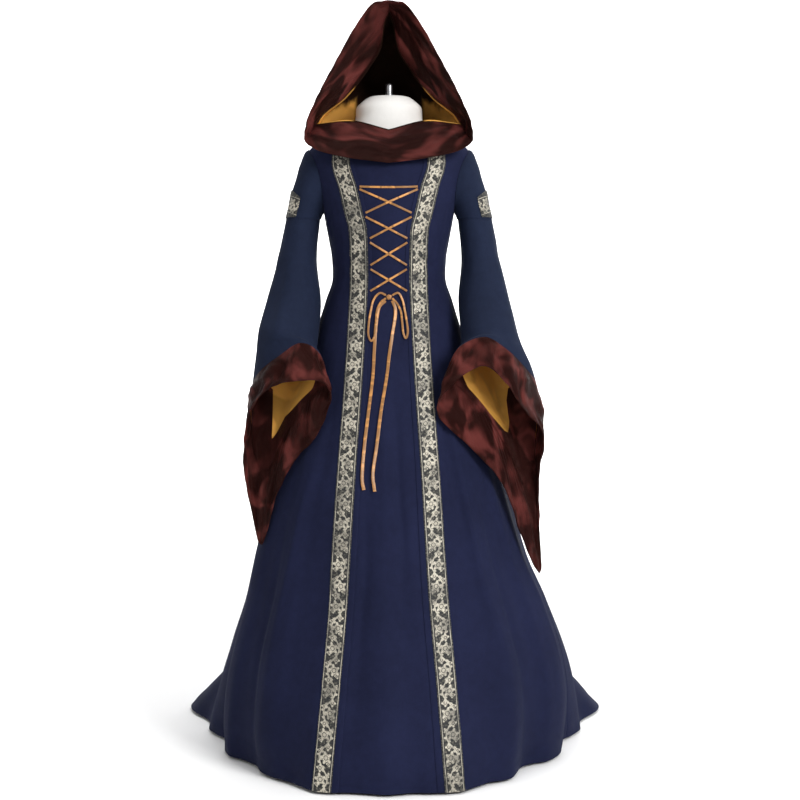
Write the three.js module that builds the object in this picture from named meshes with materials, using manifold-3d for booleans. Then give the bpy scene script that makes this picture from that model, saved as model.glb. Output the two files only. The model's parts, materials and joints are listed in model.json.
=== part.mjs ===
// A floor-length hooded gown with a laced front and trumpet sleeves, on a limbless dress form.
// Millimetres, +Z up, front towards -Y. Tables give the right side (+X); the left is its mirror
// image, apart from the sleeve mouths and the skirt's slight lean to the right.
import * as THREE from "three";
import { mergeVertices } from "three/addons/utils/BufferGeometryUtils.js";
import Module from "manifold-3d";

const wasm = await Module();
wasm.setup();

// Driving sizes
const WALL = 2; // cloth of the panels, sleeves and hood
const LINING_WALL = 1.2;
const BAND_WALL = 3; // folded satin bands
const SEAM = 0.3; // space between two pieces at a seam
const LINING_HANGS = 1.2; // hood lining inside the hood
const SET_BACK = 2.6; // centre front behind the side fronts
const RIBBON_WIDTH = 40;
const RIBBON_WALL = 1.2;
const NECK_DIP = 36; // neckline lower at the front than at the back
const NECK_TOP = 1408;
const DIP_FADES_AT = 1290;
const HEM = 6;
const LACE_WIDTH = 4.6;
const LACE_THICKNESS = 1.2;
const TAIL_WIDTH = 7;
const LACE_STANDS = 1.1; // middle of a lace from the cloth below it
const TOP_LACE_STANDS = 0.85; // the same of the top rung, which lies level
const FORM_EASE = 6; // form's surface inside the gown's outer surface
const FORM_TOUCH = 2.85; // the same on top of the shoulders, where the gown rests
const POLE_RADIUS = 15;
const BASE_RADIUS = 165;
const BASE_HEIGHT = 14;
const FORM_BOTTOM = 840;

const DEG = Math.PI / 180;
const mix = (a, b, t) => a + (b - a) * t;
const clamp = (t) => Math.min(1, Math.max(0, t));
const smooth = (t) => clamp(t) ** 2 * (3 - 2 * clamp(t));

// Table with named columns: column(name)(at) is a smooth curve through it that never overshoots.
function table(names, rows) {
  const sorted = [...rows].sort((a, b) => a[0] - b[0]);
  const keys = sorted.map((r) => r[0]);
  const out = {};
  names.slice(1).forEach((name, c) => {
    const v = sorted.map((r) => r[c + 1]);
    out[name] = monotone(keys, v);
  });
  return out;
}

function monotone(keys, v) {
  const n = keys.length;
  const d = [];
  for (let i = 0; i < n - 1; i++) d.push((v[i + 1] - v[i]) / (keys[i + 1] - keys[i]));
  const m = [d[0]];
  for (let i = 1; i < n - 1; i++) {
    const same = d[i - 1] * d[i] > 0;
    m.push(same ? (2 * d[i - 1] * d[i]) / (d[i - 1] + d[i]) : 0);
  }
  m.push(d[n - 2]);
  return (at) => {
    if (at <= keys[0]) return v[0];
    if (at >= keys[n - 1]) return v[n - 1];
    let i = 0;
    while (at > keys[i + 1]) i++;
    const w = keys[i + 1] - keys[i];
    const t = (at - keys[i]) / w;
    const t2 = t * t;
    const t3 = t2 * t;
    return (
      v[i] * (2 * t3 - 3 * t2 + 1) +
      m[i] * w * (t3 - 2 * t2 + t) +
      v[i + 1] * (3 * t2 - 2 * t3) +
      m[i + 1] * w * (t3 - t2)
    );
  };
}

// Closed loop through points at even steps of 30 degrees.
function loop(rows) {
  const n = rows.length;
  return (phi) => {
    const s = ((((phi / 30) % n) + n) % n);
    const i = Math.floor(s);
    const t = s - i;
    return [0, 1, 2].map((c) => {
      const p = [-1, 0, 1, 2].map((k) => rows[(i + k + n) % n][c]);
      return (
        p[1] +
        0.5 * t * (p[2] - p[0] + t * (2 * p[0] - 5 * p[1] + 4 * p[2] - p[3] +
          t * (3 * (p[1] - p[2]) + p[3] - p[0])))
      );
    });
  };
}

// Sections of the gown's body at heights above the floor: half width, depth before and behind the
// form's axis, how far the section has turned into the hem's outline, and its lean to the right.
const BODY = table(
  ["z", "side", "front", "back", "train", "lean"],
  [
    [1408, 90, 82, 76, 0, 0],
    [1398, 104, 84, 78, 0, 0],
    [1385, 132, 88, 82, 0, 0],
    [1370, 161, 92, 86, 0, 0],
    [1357, 180, 97, 90, 0, 0],
    [1340, 188, 104, 95, 0, 0],
    [1310, 184, 113, 102, 0, 0],
    [1275, 172, 122, 106, 0, 0],
    [1240, 158, 128, 106, 0, 0],
    [1213, 149, 131, 104, 0, 0],
    [1180, 143, 131, 100, 0, 0],
    [1150, 137, 127, 95, 0, 0],
    [1106, 130, 116, 89, 0, 0],
    [1066, 129, 108, 86, 0, 0],
    [1014, 144, 110, 100, 0, 0],
    [940, 167, 123, 128, 0, 0],
    [830, 198, 150, 170, 0, 0],
    [700, 236, 184, 215, 0, 0],
    [560, 276, 222, 262, 0, 0],
    [440, 307, 258, 305, 0, 0.01],
    [330, 340, 292, 350, 0.02, 0.045],
    [220, 370, 328, 400, 0.16, 0.05],
    [130, 388, 358, 440, 0.42, 0.045],
    [60, 396, 382, 470, 0.74, 0.035],
    [HEM, 400, 402, 480, 1, 0.03],
  ],
);

// The hem on the floor, with the train that spreads behind, by angle from the centre front.
const HEM_LINE = table(
  ["angle", "x", "y"],
  [
    [0, 0, -402],
    [20, 140, -386],
    [35, 216, -312],
    [50, 282, -214],
    [65, 342, -128],
    [80, 380, -30],
    [95, 408, 75],
    [110, 458, 200],
    [122, 494, 310],
    [135, 505, 440],
    [148, 450, 570],
    [162, 280, 670],
    [180, 0, 715],
  ],
);

// Soft folds of the skirt: angle, half width in degrees, height at the hem, height where they start.
const FOLDS = [
  [0, 8, 6, 900],
  [-28, 6, -6, 820],
  [27, 6, -6, 820],
  [40, 7, 12, 900],
  [54, 6, -7, 800],
  [68, 8, 13, 860],
  [84, 7, -11, 700],
  [-43, 8, 9, 860],
  [-58, 7, -7, 800],
  [-72, 8, 12, 860],
  [-87, 7, -11, 700],
  [99, 6, 16, 620],
  [112, 6, -12, 520],
  [126, 7, 18, 560],
  [142, 7, -12, 480],
  [156, 7, 16, 520],
  [-99, 6, 16, 620],
  [-112, 6, -12, 520],
  [-126, 7, 18, 560],
  [-142, 7, -12, 480],
  [-156, 7, 16, 520],
  [180, 8, 12, 500],
];

// Centre line of the front ribbon, and how far the side front's edge lies inside the ribbon.
const RIBBON = table(
  ["z", "x", "edge"],
  [
    [1377, 58, 8],
    [1357, 92, 8],
    [1338, 105, 8],
    [1318, 106, 8],
    [1255, 89, 8],
    [1202, 77, 8],
    [1165, 68, 8],
    [1126, 66, 8],
    [1063, 65.5, 8],
    [1000, 68, 8],
    [832, 77, 9],
    [640, 90, 11],
    [400, 104, 13],
    [197, 121, 14],
    [HEM, 136, 15],
  ],
);

const SIDE_SEAM = 90;
const BACK_SEAM = table(
  ["z", "angle"],
  [
    [1408, 138],
    [1213, 142],
    [1066, 150],
    [700, 140],
    [HEM, 132],
  ],
);

const foldHeight = (deg, z) => {
  let sum = 0;
  for (const [at, width, height, top] of FOLDS) {
    const rise = smooth((top - z) / (top - HEM));
    if (rise === 0) continue;
    const away = ((((deg - at) % 360) + 540) % 360) - 180;
    sum += height * rise * Math.exp(-((away / width) ** 2));
  }
  return sum;
};

// Point of the gown's outer surface at an angle (degrees from the front) and a height.
function bodyAt(deg, z) {
  const s = Math.sin(deg * DEG);
  const c = Math.cos(deg * DEG);
  const t = BODY.train(z);
  const turn = Math.abs(((((deg % 360) + 540) % 360) - 180));
  const fold = foldHeight(deg, z);
  const flatX = (BODY.side(z) + fold) * s;
  const flatY = -((c > 0 ? BODY.front(z) : BODY.back(z)) + fold) * c;
  const hemX = HEM_LINE.x(turn) * Math.sign(s) + fold * s;
  const hemY = HEM_LINE.y(turn) - fold * c;
  const x = mix(flatX, hemX, t) * (1 + BODY.lean(z) * s);
  return new THREE.Vector3(x, mix(flatY, hemY, t), z);
}

// The same with levels that dip at the front of the neck.
const levelAt = (deg, level) => {
  const facing = Math.max(0, Math.cos(deg * DEG)) ** 1.5;
  return level - NECK_DIP * facing * smooth((level - DIP_FADES_AT) / (NECK_TOP - DIP_FADES_AT));
};
const body = (deg, level) => bodyAt(deg, levelAt(deg, level));

// A surface's point moved out along its normal; side is 1 or -1, whichever points outwards.
function moved(surface, u, v, out, side, du = 0.5, dv = 0.5) {
  const p = surface(u, v);
  const a = surface(u + du, v).sub(surface(u - du, v));
  const b = surface(u, v + dv).sub(surface(u, v - dv));
  const n = a.cross(b).normalize().multiplyScalar(side);
  return p.addScaledVector(n, out);
}
const BODY_SIDE = 1;
const onBody = (deg, level, out) => {
  const top = level + 0.5 > NECK_TOP ? NECK_TOP - 0.5 : level;
  const low = Math.max(top, HEM + 0.5);
  const p = body(deg, level);
  const q = body(deg, low);
  return moved(body, deg, low, out, BODY_SIDE).sub(q).add(p);
};

// Angle on the body where the outer surface has a given x at a height.
function angleAtX(x, z, levels = false) {
  let low = 0;
  let high = 89;
  const side = Math.sign(x) || 1;
  for (let i = 0; i < 40; i++) {
    const at = (low + high) / 2;
    const p = levels ? body(side * at, z) : bodyAt(side * at, z);
    if (Math.abs(p.x) < Math.abs(x)) low = at;
    else high = at;
  }
  return (side * (low + high)) / 2;
}

// Degrees on the body that make a length, at an angle and a level.
const degreesFor = (mm, deg, level) =>
  mm / body(deg + 0.5, level).distanceTo(body(deg - 0.5, level));

// One closed solid from two grids of points, the outer and the inner side of a wall.
function wall(outer, inner, around) {
  const rows = outer.length;
  const cols = outer[0].length;
  const index = [];
  const points = [...outer.flat(), ...inner.flat()];
  const at = (side, i, j) => side * rows * cols + i * cols + (around ? j % cols : j);
  const quad = (a, b, c, d) => index.push(a, b, c, a, c, d);
  const last = around ? cols : cols - 1;
  for (let i = 0; i < rows - 1; i++)
    for (let j = 0; j < last; j++) {
      quad(at(0, i, j), at(0, i + 1, j), at(0, i + 1, j + 1), at(0, i, j + 1));
      quad(at(1, i, j), at(1, i, j + 1), at(1, i + 1, j + 1), at(1, i + 1, j));
    }
  for (let j = 0; j < last; j++) {
    quad(at(0, 0, j), at(0, 0, j + 1), at(1, 0, j + 1), at(1, 0, j));
    quad(at(0, rows - 1, j), at(1, rows - 1, j), at(1, rows - 1, j + 1), at(0, rows - 1, j + 1));
  }
  if (!around)
    for (let i = 0; i < rows - 1; i++) {
      quad(at(0, i, 0), at(1, i, 0), at(1, i + 1, 0), at(0, i + 1, 0));
      quad(at(0, i, last), at(0, i + 1, last), at(1, i + 1, last), at(1, i, last));
    }
  return facingOut(points, index);
}

// One closed solid from rings of points, closed by a flat fan at each end.
function filled(rings) {
  const cols = rings[0].length;
  const index = [];
  const points = rings.flat();
  for (let i = 0; i < rings.length - 1; i++)
    for (let j = 0; j < cols; j++) {
      const k = (j + 1) % cols;
      index.push(i * cols + j, (i + 1) * cols + j, (i + 1) * cols + k);
      index.push(i * cols + j, (i + 1) * cols + k, i * cols + k);
    }
  [0, rings.length - 1].forEach((i) => {
    const centre = rings[i].reduce((s, p) => s.add(p), new THREE.Vector3()).divideScalar(cols);
    points.push(centre);
    for (let j = 0; j < cols; j++) {
      const a = i * cols + j;
      const b = i * cols + ((j + 1) % cols);
      if (i === 0) index.push(points.length - 1, a, b);
      else index.push(points.length - 1, b, a);
    }
  });
  return facingOut(points, index);
}

function facingOut(points, index) {
  let volume = 0;
  for (let i = 0; i < index.length; i += 3) {
    const [a, b, c] = [points[index[i]], points[index[i + 1]], points[index[i + 2]]];
    volume += a.dot(new THREE.Vector3().crossVectors(b, c));
  }
  if (volume < 0)
    for (let i = 0; i < index.length; i += 3)
      [index[i + 1], index[i + 2]] = [index[i + 2], index[i + 1]];
  const g = new THREE.BufferGeometry().setFromPoints(points);
  g.setIndex(index);
  return g;
}

function solid(geometry) {
  const g = geometry.clone();
  g.deleteAttribute("normal");
  g.deleteAttribute("uv");
  const m = mergeVertices(g, 1e-4);
  return new wasm.Manifold(
    new wasm.Mesh({
      numProp: 3,
      vertProperties: new Float32Array(m.attributes.position.array),
      triVerts: new Uint32Array(m.index.array),
    }),
  );
}

function geometryOf(made) {
  const mesh = made.getMesh();
  const g = new THREE.BufferGeometry();
  g.setAttribute("position", new THREE.BufferAttribute(mesh.vertProperties, 3));
  g.setIndex(new THREE.BufferAttribute(mesh.triVerts, 1));
  return g;
}

// Cloths and hard materials
const cloth = (color, roughness = 0.9) =>
  new THREE.MeshStandardMaterial({ color, roughness, side: THREE.DoubleSide });
const NAVY = cloth(0x23294a);
const SATIN = cloth(0x3a1815, 0.45);
const OCHRE = cloth(0x93683a, 0.6);
const BROCADE = cloth(0x8d8a80, 0.7);
const LACE = cloth(0xb07a2c, 0.5);
const WHITE = cloth(0xe4e0dc, 0.7);
const METAL = new THREE.MeshStandardMaterial({ color: 0x77787a, roughness: 0.35, metalness: 1 });

const gown = new THREE.Group();
function add(name, geometry, material) {
  const mesh = new THREE.Mesh(geometry, material);
  mesh.name = name;
  gown.add(mesh);
  return mesh;
}

// Levels of the body's rows, from the neck to the hem.
const LEVELS = [
  1408, 1385, 1358, 1334, 1300, 1258, 1213, 1168, 1116, 1062, 1000, 920, 815, 690, 560, 430, 310,
  200, 110, 50, HEM,
];

// Angles of the columns of each panel at one level.
const edgeAngle = (level) => {
  const z = levelAt(25, level);
  return angleAtX(RIBBON.x(z) - RIBBON_WIDTH / 2 - RIBBON.edge(z), level, true);
};
const ribbonAngle = (level, side) => {
  const z = levelAt(25, level);
  return angleAtX(RIBBON.x(z) + (side * RIBBON_WIDTH) / 2, level, true);
};
const RIBBON_COLUMNS = [-1, 0, 1];
const between = (a, b, count) =>
  Array.from({ length: count + 1 }, (_, i) => mix(a, b, i / count));
const seamed = (deg, level, side) => deg + side * degreesFor(SEAM / 2, deg, level);

const PANELS = {
  centre_front_panel: {
    out: -SET_BACK,
    columns: (level) => {
      const reach = ribbonAngle(level, -1);
      const edge = edgeAngle(level);
      return [-reach, ...between(-edge, edge, 6), reach];
    },
  },
  side_front: {
    out: 0,
    columns: (level) => {
      return [
        edgeAngle(level),
        ...RIBBON_COLUMNS.map((side) => ribbonAngle(level, side)),
        ...between(ribbonAngle(level, 1), seamed(SIDE_SEAM, level, -1), 6).slice(1),
      ];
    },
  },
  side_back: {
    out: 0,
    columns: (level) =>
      between(
        seamed(SIDE_SEAM, level, 1),
        seamed(BACK_SEAM.angle(level), level, -1),
        6,
      ),
  },
  back: {
    out: 0,
    columns: (level) =>
      between(
        seamed(BACK_SEAM.angle(level), level, 1),
        seamed(180, level, -1),
        5,
      ),
  },
};

function panel(kind, side) {
  const { out, columns } = PANELS[kind];
  const grid = (depth) =>
    LEVELS.map((level) => {
      const angles = columns(level);
      return angles.map((deg) => onBody(side * deg, level, depth));
    });
  return wall(grid(out), grid(out - WALL), false);
}

// Upper sleeve: rings that fan round the underarm, each from its inner to its outer end.
const UPPER = table(
  ["t", "xIn", "zIn", "xOut", "zOut", "y", "depth"],
  [
    [-1, 95, 1238, 128, 1360, 0, 55],
    [0, 148, 1213, 184, 1356, 0, 60],
    [1, 152, 1206, 203, 1322, 0, 58],
    [2, 155, 1200, 220, 1262, -1, 53],
    [3, 157, 1196, 235, 1196, -2, 48],
  ],
);
const upper = (phi, t) => {
  const s = Math.sin(phi * DEG);
  return new THREE.Vector3(
    mix(UPPER.xIn(t), UPPER.xOut(t), (1 + s) / 2),
    UPPER.y(t) - UPPER.depth(t) * Math.cos(phi * DEG),
    mix(UPPER.zIn(t), UPPER.zOut(t), (1 + s) / 2),
  );
};
const onUpper = (phi, t, out) => {
  const at = Math.min(t, 2.9);
  const base = upper(phi, at);
  const p = moved(upper, phi, at, out, UPPER_SIDE, 0.5, 0.05).sub(base);
  if (t > 2.95) p.z = 0;
  return p.add(upper(phi, t));
};
const UPPER_SIDE = -1;
const ARM_COLUMNS = 18;
const armAngles = Array.from({ length: ARM_COLUMNS }, (_, j) => (360 * j) / ARM_COLUMNS);

// Above 0 where a point of the arm lies outside the body's section grown by a margin.
function outsideBody(p, margin) {
  const a = BODY.side(p.z) + margin;
  const d = (p.y < 0 ? BODY.front(p.z) : BODY.back(p.z)) + margin;
  if (p.z > 1392) return 1;
  return (p.x / a) ** 2 + (p.y / d) ** 2 - 1;
}
function armholeAt(phi, out) {
  let low = -1;
  let high = 2.2;
  for (let i = 0; i < 30; i++) {
    const t = (low + high) / 2;
    if (outsideBody(onUpper(phi, t, out), 1.3) < 0) low = t;
    else high = t;
  }
  return high;
}
function upperSleeve() {
  const shares = [0, 0.18, 0.4, 0.62, 0.82, 1];
  const grid = (out) =>
    shares.map((w) =>
      armAngles.map((phi) => onUpper(phi, mix(armholeAt(phi, out), 3, w), out)),
    );
  return wall(grid(0), grid(-WALL), true);
}
// What the armhole takes out of the body's panels: the hollow of the sleeve, carried inwards.
function armholePlug() {
  const rings = [-1, -0.5, 0, 0.5, 1].map((t) => armAngles.map((phi) => onUpper(phi, t, -WALL - 1)));
  return filled(rings);
}

// Lower sleeve: flat sections first, then the seam of the band and the mouth, as closed loops.
const LOWER_TOP = table(
  ["t", "x", "y", "z", "half", "depth"],
  [
    [0, 196, -2, 1195.4, 39, 48],
    [0.9, 208, -12, 1106, 44, 58],
    [1.8, 214, -38, 1014, 59, 72],
    [2.6, 223, -76, 940, 65, 84],
  ],
);
const T_BAND = 4.2;
const T_MOUTH = 5;
const BAND_GAP = 0.014;
// Points every 30 degrees from the front lip, first round the outside: x, y, z.
const BAND_LOOP = {
  left: [
    [190, -178, 915],
    [236, -168, 888],
    [282, -135, 853],
    [305, -88, 815],
    [312, -52, 745],
    [298, -50, 675],
    [265, -78, 645],
    [234, -98, 700],
    [202, -114, 757],
    [170, -127, 800],
    [138, -142, 842],
    [150, -166, 893],
  ],
  right: [
    [207, -182, 928],
    [255, -172, 902],
    [300, -140, 860],
    [330, -92, 818],
    [336, -55, 745],
    [322, -52, 665],
    [296, -78, 612],
    [262, -98, 680],
    [222, -114, 748],
    [180, -127, 800],
    [134, -150, 848],
    [150, -172, 903],
  ],
};
const MOUTH_LOOP = {
  left: [
    [194, -190, 834],
    [240, -182, 826],
    [284, -152, 797],
    [315, -108, 738],
    [324, -76, 640],
    [307, -80, 546],
    [280, -106, 471],
    [247, -120, 578],
    [203, -132, 661],
    [156, -148, 714],
    [124, -160, 798],
    [146, -180, 832],
  ],
  right: [
    [202, -195, 866],
    [250, -186, 834],
    [295, -158, 772],
    [343, -112, 712],
    [334, -80, 610],
    [336, -84, 500],
    [333, -106, 408],
    [296, -118, 480],
    [250, -130, 605],
    [180, -146, 686],
    [106, -166, 762],
    [136, -184, 824],
  ],
};
const LOWER_T = [0, 0.9, 1.8, 2.6, T_BAND, T_MOUTH];
function lowerSleeve(side) {
  const band = loop(BAND_LOOP[side]);
  const mouth = loop(MOUTH_LOOP[side]);
  const memo = new Map();
  const through = (phi) => {
    const key = phi.toFixed(3);
    if (memo.has(key)) return memo.get(key);
    const tops = [0, 0.9, 1.8, 2.6].map((t) => [
      LOWER_TOP.x(t) + LOWER_TOP.half(t) * Math.sin(phi * DEG),
      LOWER_TOP.y(t) - LOWER_TOP.depth(t) * Math.cos(phi * DEG),
      LOWER_TOP.z(t),
    ]);
    const points = [...tops, band(phi), mouth(phi)];
    const made = [0, 1, 2].map((c) => monotone(LOWER_T, points.map((p) => p[c])));
    memo.set(key, made);
    return made;
  };
  return (phi, t) => {
    const [x, y, z] = through(phi);
    return new THREE.Vector3(x(t), y(t), z(t));
  };
}
const onLower = (surface, phi, t, out) => {
  const near = Math.abs(t - T_BAND) < 0.03 ? T_BAND : t;
  const at = Math.min(Math.max(near, 0.06), T_MOUTH - 0.06);
  const base = surface(phi, at);
  const p = moved(surface, phi, at, out, LOWER_SIDE, 1, 0.05).sub(base);
  if (t === 0) p.z = 0;
  return p.add(surface(phi, t));
};
const LOWER_SIDE = -1;
function sleeveTube(surface, ts, out, inn) {
  const grid = (depth) =>
    ts.map((t) => armAngles.map((phi) => onLower(surface, phi, t, depth)));
  return wall(grid(out), grid(inn), true);
}
const mirrored = (geometry) => {
  const g = geometry.clone().applyMatrix4(new THREE.Matrix4().makeScale(-1, 1, 1));
  const index = Array.from(g.index.array);
  for (let i = 0; i < index.length; i += 3)
    [index[i + 1], index[i + 2]] = [index[i + 2], index[i + 1]];
  g.setIndex(index);
  return g;
};

// Hood: rings from the rolled edge of the face opening back to the neckline, by angle from the
// crown (0) down the right side to the centre front (180): x, y, z in each.
const HOOD_ANGLES = [0, 16, 35, 60, 88, 112, 128, 142, 160, 180];
const HOOD_RINGS = {
  edge: [
    [0, -62, 1684],
    [31, -64, 1679],
    [71, -70, 1630],
    [115, -84, 1549],
    [158, -102, 1463],
    [184, -106, 1398],
    [188, -100, 1368],
    [166, -104, 1346],
    [92, -120, 1324],
    [0, -128, 1311],
  ],
  roll: [
    [0, -40, 1680],
    [22, -42, 1668],
    [46, -44, 1609],
    [84, -52, 1534],
    [132, -66, 1462],
    [171, -80, 1407],
    [176, -84, 1380],
    [152, -98, 1372],
    [86, -118, 1358],
    [0, -124, 1346],
  ],
  band: [
    [0, -18, 1671],
    [13, -14, 1645],
    [21, -10, 1592],
    [50, -14, 1540],
    [100, -24, 1474],
    [150, -42, 1430],
    [166, -58, 1402],
    [138, -72, 1404],
    [90, -95, 1406],
    [0, -97, 1385],
  ],
  crown: [
    [0, 92, 1645],
    [30, 90, 1638],
    [66, 83, 1604],
    [108, 72, 1532],
    [148, 52, 1455],
    [166, 22, 1414],
    [162, -6, 1403],
    [144, -34, 1401],
    [101, -77, 1400],
    [0, -95, 1379],
  ],
  nape: [
    [0, 166, 1545],
    [33, 164, 1539],
    [70, 152, 1514],
    [106, 124, 1466],
    [128, 78, 1428],
    [132, 34, 1411],
    [126, 2, 1404],
    [117, -30, 1402],
    [98, -69, 1395],
    [0, -92.5, 1375.5],
  ],
};
// Angle on the neckline, from the centre front, where each of those angles is sewn to the gown.
const NECK_TURNS = [180, 170, 158, 141, 125, 106, 90, 72, 46, 0];
const HOOD_T = { edge: 0, roll: 0.5, band: 1, crown: 2, nape: 3, neck: 4 };
function hoodSurface() {
  const column = (ring, c) => monotone(HOOD_ANGLES, HOOD_RINGS[ring].map((p) => p[c]));
  const rings = ["edge", "roll", "band", "crown", "nape"].map((ring) =>
    [0, 1, 2].map((c) => column(ring, c)),
  );
  const keys = Object.values(HOOD_T);
  const neckTurn = monotone(HOOD_ANGLES, NECK_TURNS);
  const memo = new Map();
  return (phi, t) => {
    const key = phi.toFixed(4);
    if (!memo.has(key)) {
      const turn = Math.abs(((((phi % 360) + 540) % 360) - 180));
      const side = Math.sign(((((phi % 360) + 540) % 360) - 180)) || 1;
      const neck = body(neckTurn(turn), NECK_TOP);
      const points = rings.map((r) => [r[0](turn), r[1](turn), r[2](turn)]);
      const dipped = smooth(Math.max(0, Math.cos(neckTurn(turn) * DEG)) * 4);
      points.push([neck.x, neck.y, neck.z + SEAM + 0.1 + 1.8 * dipped]);
      const made = [0, 1, 2].map((c) =>
        monotone(keys, points.map((p) => (c === 0 ? side * p[c] : p[c]))),
      );
      memo.set(key, made);
    }
    const [x, y, z] = memo.get(key);
    return new THREE.Vector3(x(t), y(t), z(t));
  };
}
const hood = hoodSurface();
const HOOD_SIDE = 1;
const onHood = (phi, t, out) => {
  const near = Math.abs(t - 1) < 0.03 ? 1 : t;
  const at = Math.min(Math.max(near, 0.05), 3.95);
  const ridge = Math.abs(phi) < 1 ? 0 : Math.abs(phi) > 179 ? 180 : phi;
  const base = hood(ridge, at);
  return moved(hood, ridge, at, out, HOOD_SIDE, 1.5, 0.05).sub(base).add(hood(phi, t));
};
const HOOD_COLUMNS = [0, 14, 30, 50, 72, 96, 116, 128, 140, 158, 180];
const hoodAround = [
  ...HOOD_COLUMNS.slice(0, -1),
  ...[...HOOD_COLUMNS].reverse().slice(0, -1).map((a) => -a),
];
function hoodWall(ts, angles, out, inn, around) {
  const grid = (depth) => ts.map((t) => angles.map((phi) => onHood(phi, t, depth)));
  return wall(grid(out), grid(inn), around);
}

// A flat cord through points, as an eight-sided tube whose flat lies on the gown.
function cordTube(points, width, thickness, steps, level = false) {
  const section = new THREE.Shape();
  const [across, up] = level ? [width, thickness] : [thickness, width];
  for (let i = 0; i < 8; i++) {
    const a = ((i + 0.5) * Math.PI) / 4;
    const x = (across / 2) * Math.cos(a) * 1.08;
    const y = (up / 2) * Math.sin(a) * 1.08;
    if (i === 0) section.moveTo(x, y);
    else section.lineTo(x, y);
  }
  section.closePath();
  const path = new THREE.CatmullRomCurve3(points, false, "centripetal");
  return new THREE.ExtrudeGeometry(section, { steps, bevelEnabled: false, extrudePath: path });
}

// Foremost point of the front panels' own facets at a given x and height.
const frontFaces = [];
function frontAt(x, z) {
  let y = Infinity;
  for (const [a, b, c] of frontFaces) {
    const d = (b.z - c.z) * (a.x - c.x) + (c.x - b.x) * (a.z - c.z);
    if (Math.abs(d) < 1e-9) continue;
    const u = ((b.z - c.z) * (x - c.x) + (c.x - b.x) * (z - c.z)) / d;
    const v = ((c.z - a.z) * (x - c.x) + (a.x - c.x) * (z - c.z)) / d;
    if (u < 0 || v < 0 || u + v > 1) continue;
    y = Math.min(y, u * a.y + v * b.y + (1 - u - v) * c.y);
  }
  return y;
}
// Point that stands off the front panels by a distance, clear of them over a small reach.
function beforeFront(x, z, out, reach) {
  const steps = [-1, -0.5, 0, 0.5, 1];
  const near = steps.flatMap((i) => steps.map((k) => frontAt(x + i * reach, z + k * reach)));
  return new THREE.Vector3(x, Math.min(...near) - out, z);
}
// Rows of eyelets in the side fronts' edges, from the top: height and half width.
const EYELETS = [
  [1260, 64],
  [1197, 50.5],
  [1141, 41],
  [1083, 40],
  [1026, 40.5],
];
function strand(from, to, over) {
  const level = from[1] === to[1];
  const stands = level ? TOP_LACE_STANDS : LACE_STANDS;
  const reach = level ? LACE_WIDTH * 0.6 : LACE_WIDTH;
  const points = between(0, 1, 8).map((w) => {
    const x = mix(from[0], to[0], w);
    const z = mix(from[1], to[1], w);
    const lift = over * Math.exp(-((x / 11) ** 2));
    return beforeFront(x, z, stands + lift, reach);
  });
  return cordTube(points, LACE_WIDTH, LACE_THICKNESS, 8, level);
}

// Bow and tails: x and height along each, and how far they stand off the laced panel.
const BOW_LOOPS = {
  left: [
    [-6, 1021, 3],
    [-19, 1026, 4],
    [-32, 1013, 4],
    [-39, 988, 4],
    [-44, 955, 4],
    [-44, 931, 4],
    [-38, 920, 4],
    [-31, 929, 4],
    [-28, 960, 4],
    [-25, 990, 4],
    [-16, 1007, 3.4],
    [-6, 1014, 3],
  ],
  right: [
    [8, 1021, 3],
    [21, 1026, 4],
    [30, 1012, 4],
    [36, 985, 4],
    [41, 955, 4],
    [42, 937, 4],
    [38, 926, 4],
    [33, 935, 4],
    [30, 960, 4],
    [26, 988, 4],
    [16, 1006, 3.4],
    [8, 1014, 3],
  ],
};
const TAILS = {
  left: [
    [-7, 1009],
    [-20, 996],
    [-27, 960],
    [-31, 905],
    [-34, 845],
    [-44, 759],
    [-52, 689],
    [-56, 620],
    [-52.5, 600],
  ],
  right: [
    [8, 1009],
    [15, 990],
    [8, 932],
    [2, 892],
    [-4, 841],
    [-16, 767],
    [-25, 693],
    [-33, 631],
    [-29, 597],
  ],
};
const hanging = (rows, width, steps) =>
  cordTube(
    rows.map(([x, z, out = LACE_STANDS]) => beforeFront(x, z, out, width * 0.8)),
    width,
    LACE_THICKNESS,
    steps,
  );

// Body panels
const SIDES = [
  ["left", -1],
  ["right", 1],
];
const keepFaces = (geometry) => {
  const p = geometry.getAttribute("position");
  const at = (i) => new THREE.Vector3().fromBufferAttribute(p, i);
  const index = geometry.index.array;
  for (let i = 0; i < index.length; i += 3)
    frontFaces.push([at(index[i]), at(index[i + 1]), at(index[i + 2])]);
};
const centreFront = panel("centre_front_panel", 1);
keepFaces(centreFront);
add("centre_front_panel", centreFront, NAVY);
const plugRight = armholePlug();
const plug = { right: solid(plugRight), left: solid(mirrored(plugRight)) };
for (const [name, side] of SIDES) {
  for (const kind of ["side_front", "side_back"]) {
    const cut = geometryOf(solid(panel(kind, side)).subtract(plug[name]));
    if (kind === "side_front") keepFaces(cut);
    add(`${kind}_${name}`, cut, NAVY);
  }
  add(`back_${name}`, panel("back", side), NAVY);
}

// Ribbon down the front, from the panel's own columns moved out
for (const [name, side] of SIDES) {
  const grid = (out) =>
    LEVELS.slice(1).map((level) =>
      RIBBON_COLUMNS.map((at) => onBody(side * ribbonAngle(level, at), level, out)),
    );
  add(`front_trim_${name}`, wall(grid(SEAM + RIBBON_WALL), grid(SEAM), false), BROCADE);
}

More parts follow.
